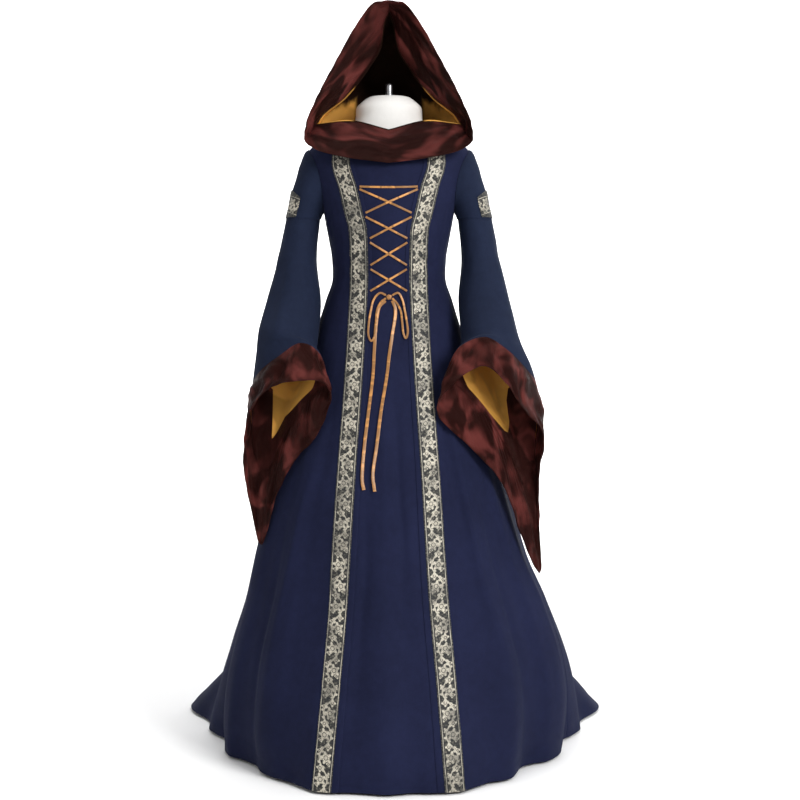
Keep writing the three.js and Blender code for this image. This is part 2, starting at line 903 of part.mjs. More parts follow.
// Sleeves
const upperRight = upperSleeve();
const ARM_RIBBON_T = [1.98, 2.5, 2.93];
const armRibbonAngles = armAngles.filter((phi) => phi >= 18 && phi <= 162);
const armRibbon = wall(
  ARM_RIBBON_T.map((t) => armRibbonAngles.map((phi) => onUpper(phi, t, 0.9 + RIBBON_WALL))),
  ARM_RIBBON_T.map((t) => armRibbonAngles.map((phi) => onUpper(phi, t, 0.9))),
  false,
);
for (const [name, side] of SIDES) {
  const turned = (g) => (side < 0 ? mirrored(g) : g);
  const surface = lowerSleeve(name);
  const shell = [0, 0.45, 0.9, 1.4, 1.9, 2.5, 3.1, 3.65, T_BAND - BAND_GAP];
  const lining = shell.slice(1);
  const band = [T_BAND, 4.4, 4.7, T_MOUTH];
  add(`upper_sleeve_${name}`, turned(upperRight), NAVY);
  add(`armband_${name}`, turned(armRibbon), BROCADE);
  add(`lower_sleeve_${name}`, turned(sleeveTube(surface, shell, 0, -WALL)), NAVY);
  const under = -WALL - SEAM;
  add(
    `sleeve_lining_${name}`,
    turned(sleeveTube(surface, lining, under, under - LINING_WALL)),
    OCHRE,
  );
  add(`cuff_band_${name}`, turned(sleeveTube(surface, band, 0.2, 0.2 - BAND_WALL)), SATIN);
}

// Hood
add("hood_band", hoodWall([0, 0.25, 0.5, 0.75, 0.95], hoodAround, 0, -BAND_WALL, true), SATIN);
const HOOD_TS = [1, 1.3, 1.7, 2.1, 2.6, 3.1, 3.5, 3.8, 4];
for (const [name, side] of SIDES) {
  const right = HOOD_COLUMNS.map((a) => Math.min(Math.max(a, 0.25), 179.8));
  const angles = side > 0 ? right : right.map((a) => -a).reverse();
  add(`hood_${name}`, hoodWall(HOOD_TS, angles, 0, -WALL, false), NAVY);
}
const LINING_TS = HOOD_TS.slice(0, -1);
const under = -WALL - LINING_HANGS;
add("hood_lining", hoodWall(LINING_TS, hoodAround, under, under - LINING_WALL, true), OCHRE);

// Lacing
add("lace_top", strand([-EYELETS[0][1], EYELETS[0][0]], [EYELETS[0][1], EYELETS[0][0]], 0), LACE);
for (let i = 0; i < EYELETS.length - 1; i++) {
  const [zHigh, halfHigh] = EYELETS[i];
  const [zLow, halfLow] = EYELETS[i + 1];
  const drop = i === 0 ? 6 : 4.5;
  add(`lace_${i + 1}a`, strand([-halfHigh, zHigh - drop], [halfLow, zLow + 4.5], 0), LACE);
  add(`lace_${i + 1}b`, strand([halfHigh, zHigh - drop], [-halfLow, zLow + 4.5], 2.1), LACE);
}
add("bow_loop_left", hanging(BOW_LOOPS.left, LACE_WIDTH, 20), LACE);
add("bow_loop_right", hanging(BOW_LOOPS.right, LACE_WIDTH, 20), LACE);
add("lace_tail_left", hanging(TAILS.left, TAIL_WIDTH, 20), LACE);
add("lace_tail_right", hanging(TAILS.right, TAIL_WIDTH, 20), LACE);
const knot = new THREE.SphereGeometry(1, 12, 8);
knot.scale(6.2, 2.6, 5.6);
const knotAt = beforeFront(1, 1017, 3.1, 6);
knot.translate(knotAt.x, knotAt.y, knotAt.z);
add("bow_knot", knot, LACE);

// Dress form: neck, then the gown's own sections drawn in, then waist and hips
const FORM_NECK = [
  [1475, 50, 44, 44],
  [1466, 60, 52, 51],
  [1449, 75, 62, 60],
  [1430, 76, 64, 61],
];
const FORM_LOW = [
  [1185, 134, 121, 93],
  [1150, 130, 117, 88],
  [1106, 123, 106, 82],
  [1066, 121, 99, 79],
  [1014, 130, 101, 90],
  [960, 145, 108, 104],
  [900, 153, 114, 112],
  [862, 150, 112, 109],
  [FORM_BOTTOM, 142, 105, 102],
];
const FORM_LEVELS = [1408, 1385, 1358, 1334, 1300, 1258, 1213];
const FORM_COLUMNS = 28;
const formAngles = Array.from({ length: FORM_COLUMNS }, (_, j) => (360 * j) / FORM_COLUMNS);
const ease = (deg, level) => {
  const ridge = Math.exp(-(((Math.abs(((deg + 180) % 360) - 180) - 90) / 7) ** 2));
  const top = smooth((level - 1325) / 25) * (level > 1400 ? 0 : 1);
  const front = 2.5 * Math.max(0, Math.cos(deg * DEG)) ** 2;
  const neck = level > 1400 ? 9 : 0;
  return FORM_EASE + neck + front - (FORM_EASE - FORM_TOUCH) * ridge * top;
};
const ellipseRing = ([z, a, f, b]) =>
  formAngles.map((deg) => {
    const c = Math.cos(deg * DEG);
    return new THREE.Vector3(a * Math.sin(deg * DEG), -(c > 0 ? f : b) * c, z);
  });
const formRings = [
  ...FORM_NECK.map(ellipseRing),
  ...FORM_LEVELS.map((level) => formAngles.map((deg) => onBody(deg, level, -ease(deg, level)))),
  ...FORM_LOW.map(ellipseRing),
];
add("form_torso", filled(formRings), WHITE);

const lathe = (profile, count) => {
  const g = new THREE.LatheGeometry(
    profile.map(([r, z]) => new THREE.Vector2(r, z)),
    count,
  );
  g.rotateX(Math.PI / 2);
  return g;
};
const KNOB_TOP = 1475 + 32;
add(
  "form_knob",
  lathe(
    [
      [0, 1475.3],
      [11, 1475.3],
      [11, 1478],
      [8.5, 1480],
      [8.5, KNOB_TOP - 6],
      [6.5, KNOB_TOP - 1.5],
      [0, KNOB_TOP],
    ],
    16,
  ),
  METAL,
);
add(
  "stand_pole",
  lathe(
    [
      [0, BASE_HEIGHT + 0.3],
      [POLE_RADIUS, BASE_HEIGHT + 0.3],
      [POLE_RADIUS, FORM_BOTTOM - 14.3],
      [45, FORM_BOTTOM - 6.3],
      [45, FORM_BOTTOM - 0.3],
      [0, FORM_BOTTOM - 0.3],
    ],
    20,
  ),
  METAL,
);
add(
  "stand_base",
  lathe(
    [
      [0, 0],
      [BASE_RADIUS, 0],
      [BASE_RADIUS, 6],
      [BASE_RADIUS - 12, 10],
      [26, BASE_HEIGHT],
      [0, BASE_HEIGHT],
    ],
    40,
  ),
  METAL,
);

// The origin is under the middle of the whole, on the floor.
const object = new THREE.Group();
object.add(gown);
const box = new THREE.Box3().setFromObject(gown, true);
const middle = box.getCenter(new THREE.Vector3());
gown.position.set(-middle.x, -middle.y, 0);

export default object;
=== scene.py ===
"""Hooded laced gown on a dress form: cloth, ribbon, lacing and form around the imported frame.

Tables give the right side (+X) in millimetres of the gown's own frame, whose axis is the form's.
"""
import json
import math

import bmesh
import bpy
import numpy as np
from bpy.props import FloatProperty, FloatVectorProperty, PointerProperty
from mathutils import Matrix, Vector

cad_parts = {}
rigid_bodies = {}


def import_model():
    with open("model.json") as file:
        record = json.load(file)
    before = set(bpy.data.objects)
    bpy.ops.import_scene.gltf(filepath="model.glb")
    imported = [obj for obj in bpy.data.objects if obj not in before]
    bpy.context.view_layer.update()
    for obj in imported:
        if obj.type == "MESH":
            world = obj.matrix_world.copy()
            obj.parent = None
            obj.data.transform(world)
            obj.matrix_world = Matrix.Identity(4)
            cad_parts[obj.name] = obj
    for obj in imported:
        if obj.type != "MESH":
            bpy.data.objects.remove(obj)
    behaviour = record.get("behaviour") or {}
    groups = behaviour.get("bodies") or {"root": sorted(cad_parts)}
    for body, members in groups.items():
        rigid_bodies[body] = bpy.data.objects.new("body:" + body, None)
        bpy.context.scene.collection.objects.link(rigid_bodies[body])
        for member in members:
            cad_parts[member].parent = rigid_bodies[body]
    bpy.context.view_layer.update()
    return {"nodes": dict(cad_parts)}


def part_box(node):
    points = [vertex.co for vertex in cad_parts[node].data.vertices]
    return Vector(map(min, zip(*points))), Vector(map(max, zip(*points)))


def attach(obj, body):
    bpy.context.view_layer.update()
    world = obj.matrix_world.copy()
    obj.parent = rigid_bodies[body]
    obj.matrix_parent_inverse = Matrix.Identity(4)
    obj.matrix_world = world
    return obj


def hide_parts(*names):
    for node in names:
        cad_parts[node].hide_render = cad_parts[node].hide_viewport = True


bl_info = {
    "name": "Hooded laced gown",
    "version": (1, 0, 0),
    "blender": (4, 5, 0),
    "location": "View3D > Sidebar > Gown",
    "description": "Makes a hooded gown with a laced front on a dress form, piece by piece",
    "category": "Object",
}

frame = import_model()

# Place of the gown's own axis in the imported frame, found from the stand's base
BASE_LOW, BASE_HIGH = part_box("stand_base")
AXIS_X = (BASE_LOW[0] + BASE_HIGH[0]) / 2
AXIS_Y = (BASE_LOW[1] + BASE_HIGH[1]) / 2

# Sizes in millimetres
SEAM = 0.3
SET_BACK = 2.6
RIBBON_WALL = 1.2
NECK_DIP = 36
NECK_TOP = 1408
DIP_FADES_AT = 1290
HEM = 6
LACE_THICKNESS = 1.2
LACE_STANDS = 1.1
FORM_EASE = 6
FORM_TOUCH = 2.85
FORM_BOTTOM = 840
RIBBON_TOP = 1385
LEVEL_LACE_STANDS = 0.85
ARMBAND_STANDS = 0.9
SLEEVE_WALL = 1.6
LINING_INSIDE = 3.3
LINING_WALL = 1.1
CUFF_STANDS = 0.2
CUFF_WALL = 3.0
FACING_OUTS = (-4.7, -5.5)
HOOD_BAND_OUTS = (0.0, -3.0)
HOOD_OUTS = (0.0, -1.6)
HOOD_LINING_OUTS = (-3.2, -4.4)
# Crumples of the satin, as a share of their tables' heights
CUFF_CRUMPLE = 2.4
HOOD_BAND_CRUMPLE = 1.4
# Angles in degrees under which two faces are shaded as one soft surface
SOFT_CLOTH = 50
SOFT_CORD = 60
SOFT_METAL = 35
SOFT_FLOOR = 40
# Steps up and down, in degrees or mm, from which a surface's slope is read
HALF_STEP = 0.5
DEG = math.pi / 180


def mix(a, b, t):
    return a + (b - a) * t


def smooth(t):
    t = np.clip(t, 0, 1)
    return t * t * (3 - 2 * t)


def turned(deg):
    """An angle brought to the range from -180 to 180."""
    return (np.asarray(deg, float) % 360 + 540) % 360 - 180


def curve(keys, values):
    """Smooth curve through a table's values that never overshoots; values may be arrays."""
    k = np.array(keys, float)
    v = np.array(values, float)
    n = len(k)
    step = np.diff(k).reshape((-1,) + (1,) * (v.ndim - 1))
    d = np.diff(v, axis=0) / step
    m = np.zeros_like(v)
    m[0] = d[0]
    m[-1] = d[-1]
    both = d[:-1] * d[1:]
    total = np.where(both > 0, d[:-1] + d[1:], 1)
    m[1:-1] = np.where(both > 0, 2 * both / total, 0)

    def at(x):
        x = np.clip(np.asarray(x, float), k[0], k[-1])
        i = np.clip(np.searchsorted(k, x, side="left") - 1, 0, n - 2)
        w = k[i + 1] - k[i]
        t = (x - k[i]) / w
        t2 = t * t
        t3 = t2 * t
        return (
            v[i] * (2 * t3 - 3 * t2 + 1)
            + m[i] * w * (t3 - 2 * t2 + t)
            + v[i + 1] * (3 * t2 - 2 * t3)
            + m[i + 1] * w * (t3 - t2)
        )

    return at


def table(names, rows):
    """Table with named columns: table[name](key) is a smooth curve through the column."""
    rows = sorted(rows, key=lambda r: r[0])
    keys = [r[0] for r in rows]
    return {name: curve(keys, [r[c + 1] for r in rows]) for c, name in enumerate(names[1:])}


def loop(rows, phi):
    """Points at angles phi on the closed loop through points at even steps of 30 degrees."""
    p = np.array(rows, float)
    n = len(p)
    s = (np.asarray(phi, float) / 30) % n
    i = np.floor(s).astype(int)
    t = (s - i)[:, None]
    p0, p1, p2, p3 = (p[(i + k) % n] for k in (-1, 0, 1, 2))
    bend = 2 * p0 - 5 * p1 + 4 * p2 - p3 + t * (3 * (p1 - p2) + p3 - p0)
    return p1 + 0.5 * t * (p2 - p0 + t * bend)


# Sections of the gown's body at heights above the floor
BODY = table(
    ["z", "side", "front", "back", "train", "lean"],
    [
        [1408, 90, 82, 76, 0, 0], [1398, 104, 84, 78, 0, 0], [1385, 132, 88, 82, 0, 0],
        [1370, 161, 92, 86, 0, 0], [1357, 180, 97, 90, 0, 0], [1340, 188, 104, 95, 0, 0],
        [1310, 184, 113, 102, 0, 0], [1275, 172, 122, 106, 0, 0], [1240, 158, 128, 106, 0, 0],
        [1213, 149, 131, 104, 0, 0], [1180, 143, 131, 100, 0, 0], [1150, 137, 127, 95, 0, 0],
        [1106, 130, 116, 89, 0, 0], [1066, 129, 108, 86, 0, 0], [1014, 144, 110, 100, 0, 0],
        [940, 167, 123, 128, 0, 0], [830, 198, 150, 170, 0, 0], [700, 236, 184, 215, 0, 0],
        [560, 276, 222, 262, 0, 0], [440, 307, 258, 305, 0, 0.01],
        [330, 340, 292, 350, 0.02, 0.045], [220, 370, 328, 400, 0.16, 0.05],
        [130, 388, 358, 440, 0.42, 0.045], [60, 396, 382, 470, 0.74, 0.035],
        [HEM, 400, 402, 480, 1, 0.03],
    ],
)

# The hem on the floor, with the train behind, by angle from the centre front
HEM_LINE = table(
    ["angle", "x", "y"],
    [
        [0, 0, -402], [20, 140, -386], [35, 216, -312], [50, 282, -214], [65, 342, -128],
        [80, 380, -30], [95, 408, 75], [110, 458, 200], [122, 494, 310], [135, 505, 440],
        [148, 450, 570], [162, 280, 670], [180, 0, 715],
    ],
)

# Main folds of the skirt: angle, half width in degrees, height at the hem, where they start
FOLDS = [
    [0, 8, 6, 900], [-28, 6, -6, 820], [27, 6, -6, 820], [40, 7, 12, 900], [54, 6, -7, 800],
    [68, 8, 13, 860], [84, 7, -11, 700], [-43, 8, 9, 860], [-58, 7, -7, 800], [-72, 8, 12, 860],
    [-87, 7, -11, 700], [99, 6, 16, 620], [112, 6, -12, 520], [126, 7, 18, 560], [142, 7, -12, 480],
    [156, 7, 16, 520], [-99, 6, 16, 620], [-112, 6, -12, 520], [-126, 7, 18, 560],
    [-142, 7, -12, 480], [-156, 7, 16, 520], [180, 8, 12, 500],
]

# Centre line of the front ribbon, and how far the side front's edge lies inside it
RIBBON = table(
    ["z", "x", "edge"],
    [
        [1377, 58, 8], [1357, 92, 8], [1338, 105, 8], [1318, 106, 8], [1255, 89, 8], [1202, 77, 8],
        [1165, 68, 8], [1126, 66, 8], [1063, 65.5, 8], [1000, 68, 8], [832, 77, 9], [640, 90, 11],
        [400, 104, 13], [197, 121, 14], [HEM, 136, 15],
    ],
)
SIDE_SEAM = 90
BACK_SEAM = table(
    ["z", "angle"],
    [[1408, 138], [1213, 142], [1066, 150], [700, 140], [HEM, 132]],
)

# Soft creases that run down the body, thinner than the main folds: angle and height where each
# starts, angle and height where it ends, half width in degrees, how far it stands out in mm.
BODY_CREASES = [
    [-3, 930, -1.5, HEM, 3.2, 3.4], [4.5, 900, 6.5, HEM, 2.6, -4.0], [-9, 860, -10, HEM, 2.8, -4.0],
    [9.5, 760, 12.5, HEM, 2.6, 3.0], [-14, 420, -16, HEM, 3.0, 1.6], [24, 900, 22, HEM, 3.0, 3.4],
    [33, 1010, 34, HEM, 3.2, -4.8], [36, 820, 41, HEM, 2.2, 5.6], [46, 720, 49, HEM, 2.6, -4.8],
    [58, 820, 61, HEM, 3.0, 5.0], [63, 980, 74, HEM, 2.6, 3.6], [77, 900, 79, HEM, 2.6, -3.2],
    [90, 1000, 92, HEM, 3.2, 3.0], [-24, 700, -23, HEM, 3.0, 1.8], [-34, 960, -36, HEM, 3.6, -4.0],
    [-41, 740, -47, HEM, 2.6, 4.2], [-52, 880, -53, HEM, 2.8, -4.6], [-63, 980, -67, HEM, 3.0, 3.2],
    [-79, 820, -78, HEM, 2.8, -3.4], [-92, 980, -93, HEM, 3.2, 3.0],
    [105, 930, 105, HEM, 3.0, -3.6], [118, 1000, 119, HEM, 3.2, 4.2],
    [134, 960, 134, HEM, 2.8, -3.4], [149, 1010, 150, HEM, 3.0, 4.0],
    [166, 1020, 168, HEM, 3.2, -4.0], [-105, 920, -106, HEM, 3.0, -3.4],
    [-119, 1010, -120, HEM, 3.2, 4.4], [-135, 950, -134, HEM, 2.8, -3.6],
    [-149, 1020, -151, HEM, 3.0, 4.0], [-168, 1000, -167, HEM, 3.2, -3.6],
]

# Short dents and ridges of the body: angle, height, half width (deg), half height (mm), turn, mm
BODY_DENTS = [
    [42, 1092, 16, 9, 0.25, -1.6], [55, 1112, 18, 8, -0.3, 1.4], [38, 1068, 15, 8, 0.1, 1.3],
    [70, 1078, 16, 8, 0.2, -1.5], [-44, 1096, 16, 9, -0.3, -1.6], [-58, 1116, 18, 8, 0.2, 1.4],
    [-40, 1070, 14, 8, -0.15, 1.2], [-72, 1082, 16, 8, -0.1, -1.4], [50, 1235, 9, 20, 0.5, 2.0],
    [-50, 1238, 9, 20, -0.5, 2.0], [64, 1195, 6, 30, 0.35, -1.8], [-66, 1190, 6, 30, -0.35, -1.8],
    [120, 1090, 18, 9, 0.1, -2.0], [150, 1104, 16, 9, -0.2, 1.6], [-124, 1088, 18, 9, 0.2, -2.0],
    [-152, 1106, 16, 9, 0.1, 1.6], [140, 1250, 10, 36, 0.3, 1.6], [-138, 1245, 10, 36, -0.3, 1.6],
    [14, 120, 10, 16, 0.3, 1.8], [-12, 190, 9, 20, -0.4, -1.6], [38, 60, 9, 22, 0.2, 3.0],
    [-40, 76, 9, 22, -0.3, 2.6], [60, 46, 8, 20, 0.1, -2.6], [-62, 52, 8, 20, -0.1, -2.6],
]


def dents(u, v, rows):
    """Sum of soft, turned, leaf-shaped bumps placed on a surface's two coordinates."""
    total = np.zeros(np.broadcast(u, v).shape)
    for u0, v0, half_u, half_v, turn, height in rows:
        du = (u - u0) / half_u
        dv = (v - v0) / half_v
        p = du * math.cos(turn) - dv * math.sin(turn)
        q = du * math.sin(turn) + dv * math.cos(turn)
        total = total + height * np.exp(-(p * p + q * q))
    return total


def body_crease(deg, z):
    """How far the cloth of the body stands out from its plain form, in millimetres."""
    total = np.zeros(np.broadcast(deg, z).shape)
    for n, (a, top, b, low, width, height) in enumerate(BODY_CREASES):
        down = np.clip((top - z) / (top - low), 0, 1)
        sway = 0.5 * np.sin(z / 83 + 1.7 * n) + 0.3 * np.sin(z / 37 + n)
        away = turned(deg - mix(a, b, down) - sway) / (width * (1 + 0.25 * np.sin(z / 140 + n)))
        rise = smooth((top - z) / 260) * (0.75 + 0.25 * np.sin(z / 110 + 2.3 * n))
        total = total + height * rise * np.exp(-(away**2))
    total = total + dents(turned(deg), z, BODY_DENTS)
    wave = 0.35 * np.sin(deg / 3.1 + z / 47) * np.sin(z / 29 - deg / 7)
    hem = 1.6 * np.exp(-(((z - 30) / 14) ** 2)) * np.sin(deg / 2.3)
    shoulder = smooth((1330 - z) / 90)
    return (total + wave + hem) * shoulder * depth_of_creases()


def depth_of_creases():
    return bpy.context.scene.gown_sizes.crease_depth


def fold_height(deg, z):
    """How far the main folds stand out from the plain section, in millimetres."""
    total = np.zeros(np.broadcast(deg, z).shape)
    for at, width, height, top in FOLDS:
        rise = smooth((top - z) / (top - HEM))
        total = total + height * rise * np.exp(-((turned(deg - at) / width) ** 2))
    return total


def body_at(deg, z):
    """Point of the gown's outer surface at an angle from the front and a height."""
    deg, z = np.broadcast_arrays(np.asarray(deg, float), np.asarray(z, float))
    s = np.sin(deg * DEG)
    c = np.cos(deg * DEG)
    t = BODY["train"](z)
    turn = np.abs(turned(deg))
    fold = fold_height(deg, z)
    flat_x = (BODY["side"](z) + fold) * s
    flat_y = -(np.where(c > 0, BODY["front"](z), BODY["back"](z)) + fold) * c
    hem_x = HEM_LINE["x"](turn) * np.sign(s) + fold * s
    hem_y = HEM_LINE["y"](turn) - fold * c
    x = mix(flat_x, hem_x, t) * (1 + BODY["lean"](z) * s)
    return np.stack([x, mix(flat_y, hem_y, t), z], -1)


def height_of(deg, level):
    """Height of a level at an angle: levels dip at the front of the neck."""
    facing = np.maximum(0, np.cos(np.asarray(deg, float) * DEG)) ** 1.5
    return level - NECK_DIP * facing * smooth((level - DIP_FADES_AT) / (NECK_TOP - DIP_FADES_AT))


def body(deg, level):
    """Point of the gown's plain surface at an angle and a level."""
    return body_at(deg, height_of(deg, level))


def unit(v):
    return v / np.maximum(np.linalg.norm(v, axis=-1, keepdims=True), 1e-12)


def body_normal(deg, level):
    low = np.clip(level, HEM + HALF_STEP, NECK_TOP - HALF_STEP)
    across = body(deg + HALF_STEP, low) - body(deg - HALF_STEP, low)
    up = body(deg, low + HALF_STEP) - body(deg, low - HALF_STEP)
    return unit(np.cross(across, up))


def on_body(deg, level, out):
    """Point on the dressed body, moved out from it."""
    deg, level = np.broadcast_arrays(np.asarray(deg, float), np.asarray(level, float))
    z = height_of(deg, level)
    lift = out + body_crease(deg, z)
    return body(deg, level) + body_normal(deg, level) * lift[..., None]


def angle_at_x(x, z, by_level):
    """Angle on the body where its outer surface has a given x."""
    side = np.where(np.asarray(x, float) < 0, -1.0, 1.0)
    low = np.zeros(np.broadcast(x, z).shape)
    high = low + 89
    for _ in range(30):
        at = (low + high) / 2
        p = body(side * at, z) if by_level else body_at(side * at, z)
        inside = np.abs(p[..., 0]) < np.abs(x)
        low = np.where(inside, at, low)
        high = np.where(inside, high, at)
    return side * (low + high) / 2


def degrees_for(mm, deg, level):
    """Angle that a length takes up round the body at a level."""
    one_degree = body(deg + HALF_STEP, level) - body(deg - HALF_STEP, level)
    return mm / np.linalg.norm(one_degree, axis=-1)


def ribbon_half():
    """Half the ribbon's width in millimetres."""
    return bpy.context.scene.gown_sizes.ribbon_width * 500


def edge_angle(level):
    z = height_of(25, level)
    return angle_at_x(RIBBON["x"](z) - ribbon_half() - RIBBON["edge"](z), level, True)


def ribbon_angle(level, side):
    z = height_of(25, level)
    return angle_at_x(RIBBON["x"](z) + side * ribbon_half(), level, True)


LEVELS = np.concatenate(
    [np.linspace(NECK_TOP, 1000, 76), np.linspace(1000, 60, 130)[1:], np.linspace(60, HEM, 14)[1:]]
)
EDGE_STEPS = [0, 0.006, 0.014, 0.026]
FIRST_COLUMN = 0.045
SEAM_REACH = 3.2


def columns(count):
    """Shares of a panel's width, closer together at its seams."""
    inner = np.linspace(FIRST_COLUMN, 1 - FIRST_COLUMN, count)
    return np.concatenate([EDGE_STEPS, inner, [1 - w for w in reversed(EDGE_STEPS)]])


# Building meshes


def place(points):
    """Gown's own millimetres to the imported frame's metres."""
    return np.asarray(points, float) / 1000 + np.array([AXIS_X, AXIS_Y, 0])


def lengths(grid, axis, wrap=False):
    """Distance run along a grid's axis, in metres, measured on each line of it."""
    g = np.concatenate([grid, grid[:, :1]], 1) if wrap else grid
    step = np.linalg.norm(np.diff(g, axis=axis), axis=-1)
    run = np.cumsum(step, axis=axis)
    zero = np.zeros_like(np.take(run, [0], axis=axis))
    return np.concatenate([zero, run], axis=axis) / 1000


def grid_normals(grid, wrap, outward):
    """Normals of a grid of points; outward says if the first guess points the right way."""
    if wrap:
        across = np.roll(grid, -1, 1) - np.roll(grid, 1, 1)
    else:
        across = np.gradient(grid, axis=1)
    along = np.gradient(grid, axis=0)
    return unit(np.cross(across, along)) * outward


def shell(name, outer, inner, wrap, rim=0.35):
    """Closed mesh of a sheet of cloth from its outer and inner grids, with rounded edges."""
    rows, cols = outer.shape[:2]
    across = lengths(outer, 1, wrap)
    middle = across[:, -1:] / 2
    u = across - middle
    v = lengths(outer, 0)
    if wrap:
        v = np.concatenate([v, v[:, :1]], 1)
    uv = np.stack([u, v], -1)
    points = [outer.reshape(-1, 3), inner.reshape(-1, 3)]
    faces = []
    corners = []
    spans = cols if wrap else cols - 1
    i, j = np.meshgrid(np.arange(rows - 1), np.arange(spans), indexing="ij")
    i = i.ravel()
    j = j.ravel()
    k = (j + 1) % cols
    quad = np.stack([i * cols + j, (i + 1) * cols + j, (i + 1) * cols + k, i * cols + k], -1)
    quad_uv = np.stack([uv[i, j], uv[i + 1, j], uv[i + 1, j + 1], uv[i, j + 1]], 1)
    faces.append(quad)
    corners.append(quad_uv)
    faces.append(quad[:, ::-1] + rows * cols)
    corners.append(quad_uv[:, ::-1])
    first = 2 * rows * cols
    if wrap:
        edge = np.arange(cols)
        rims = [
            (0 * edge, edge, 0 * edge + 1, edge, True),
            (0 * edge + rows - 1, edge, 0 * edge + rows - 2, edge, False),
        ]
    else:
        r = np.arange(rows)
        c = np.arange(cols)
        ring_i = np.concatenate([0 * c[:-1], r[:-1], 0 * c[1:] + rows - 1, r[:0:-1]])
        ring_j = np.concatenate([c[:-1], 0 * r[:-1] + cols - 1, c[:0:-1], 0 * r[1:]])
        in_i = np.clip(ring_i, 1, rows - 2)
        in_j = np.clip(ring_j, 1, cols - 2)
        rims = [(ring_i, ring_j, in_i, in_j, True)]
    for ei, ej, ni, nj, ahead in rims:
        a = outer[ei, ej]
        b = inner[ei, ej]
        away = unit(a - outer[ni, nj])
        half = np.linalg.norm(a - b, axis=-1, keepdims=True) * rim
        points.append((a + b) / 2 + away * half)
        n = len(ei)
        here = np.arange(n)
        there = (here + 1) % n
        out_index = ei * cols + ej
        mid = first + here
        first += n
        step_uv = uv[ei, ej]
        next_uv = uv[ei[there], np.where(wrap & (there == 0), cols, ej[there])]
        for upper, lower in ((out_index, mid), (mid, out_index + rows * cols)):
            quad = np.stack([upper, upper[there], lower[there], lower], -1)
            quad_uv = np.stack([step_uv, next_uv, next_uv, step_uv], 1)
            faces.append(quad if ahead else quad[:, ::-1])
            corners.append(quad_uv if ahead else quad_uv[:, ::-1])
    return mesh_object(name, np.concatenate(points), np.concatenate(faces), np.concatenate(corners))


def add_mesh(name, points, faces, corner_uv=None):
    """Object from points in the gown's millimetres and faces, with flat coordinates for the cloth."""
    mesh = bpy.data.meshes.new(name)
    mesh.from_pydata(place(points).tolist(), [], faces)
    if corner_uv is not None:
        layer = mesh.uv_layers.new(name="cloth")
        layer.data.foreach_set("uv", np.array(corner_uv, float).ravel())
    piece = bpy.data.objects.new(name, mesh)
    bpy.context.scene.collection.objects.link(piece)
    return piece


def mesh_object(name, points, faces, corner_uv):
    """Closed object of four-sided faces, turned so that they look out."""
    placed = place(points)
    a, b, c, d = (placed[faces[:, n]] for n in range(4))
    volume = np.sum(a * np.cross(b, c)) + np.sum(a * np.cross(c, d))
    if volume < 0:
        faces = faces[:, ::-1]
        corner_uv = corner_uv[:, ::-1]
    piece = add_mesh(name, points, faces.tolist(), corner_uv)
    piece.data.validate()
    smooth_by_angle(piece, SOFT_CLOTH)
    return piece


def select_none():
    for other in bpy.context.view_layer.objects:
        other.select_set(False)


def only(piece):
    """Selects one piece and nothing else."""
    select_none()
    piece.select_set(True)
    bpy.context.view_layer.objects.active = piece


def turn_faces_out(piece):
    only(piece)
    bpy.ops.object.mode_set(mode="EDIT")
    bpy.ops.mesh.select_all(action="SELECT")
    bpy.ops.mesh.normals_make_consistent(inside=False)
    bpy.ops.object.mode_set(mode="OBJECT")


def smooth_by_angle(piece, degrees):
    only(piece)
    bpy.ops.object.shade_smooth_by_angle(angle=math.radians(degrees))


def tube_faces(rows, cols):
    """Four-sided faces of a tube made of rings."""
    faces = []
    for i in range(rows - 1):
        for j in range(cols):
            k = (j + 1) % cols
            faces.append([i * cols + j, (i + 1) * cols + j, (i + 1) * cols + k, i * cols + k])
    return faces


def dress(piece, material, slot, *nodes):
    """Gives a piece its material, hangs it on the root body and hides the CAD nodes that it stands for.
    """
    piece.data.materials.clear()
    piece.data.materials.append(material)
    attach(piece, "root")
    if nodes:
        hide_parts(*nodes)
    return piece


def declare_sheet(piece, plain, wrap, straight_row=None):
    rows = lengths(plain, 1, wrap)[:, -1]
    width = float(rows.max() if straight_row is None else rows[straight_row])
    length = float(lengths(plain, 0)[-1].max())
    g = np.concatenate([plain, plain[:, :1]], 1) if wrap else plain
    a = np.cross(g[1:, 1:] - g[:-1, :-1], g[1:, :-1] - g[:-1, 1:])
    area = float(np.linalg.norm(a, axis=-1).sum() / 2) / 1e6
    width = math.ceil(width * 100) / 100
    length = math.ceil(length * 100) / 100
    area = max(min(area, width * length), 0.3 * width * length + 1e-6)
    print(f"sheet {piece.name}: cut {width:.2f} x {length:.2f} m, {area:.3f} m2")


def cloth_wall():
    return bpy.context.scene.gown_sizes.cloth_thickness * 1000


# Body panels

PANEL_EDGES = {
    "centre_front": (lambda z: -ribbon_angle(z, -1), lambda z: ribbon_angle(z, -1)),
    "side_front": (edge_angle, lambda z: SIDE_SEAM - degrees_for(SEAM / 2, SIDE_SEAM, z)),
    "side_back": (
        lambda z: SIDE_SEAM + degrees_for(SEAM / 2, SIDE_SEAM, z),
        lambda z: BACK_SEAM["angle"](z) - degrees_for(SEAM / 2, BACK_SEAM["angle"](z), z),
    ),
    "back": (
        lambda z: BACK_SEAM["angle"](z) + degrees_for(SEAM / 2, BACK_SEAM["angle"](z), z),
        lambda z: 180 - degrees_for(SEAM / 2, 180, z),
    ),
}


def panel_grid(kind, side, count, out):
    """Points of a panel, moved out by a distance."""
    start, end = PANEL_EDGES[kind]
    deg = side * mix(start(LEVELS)[:, None], end(LEVELS)[:, None], columns(count)[None, :])
    return on_body(deg, LEVELS[:, None], out)


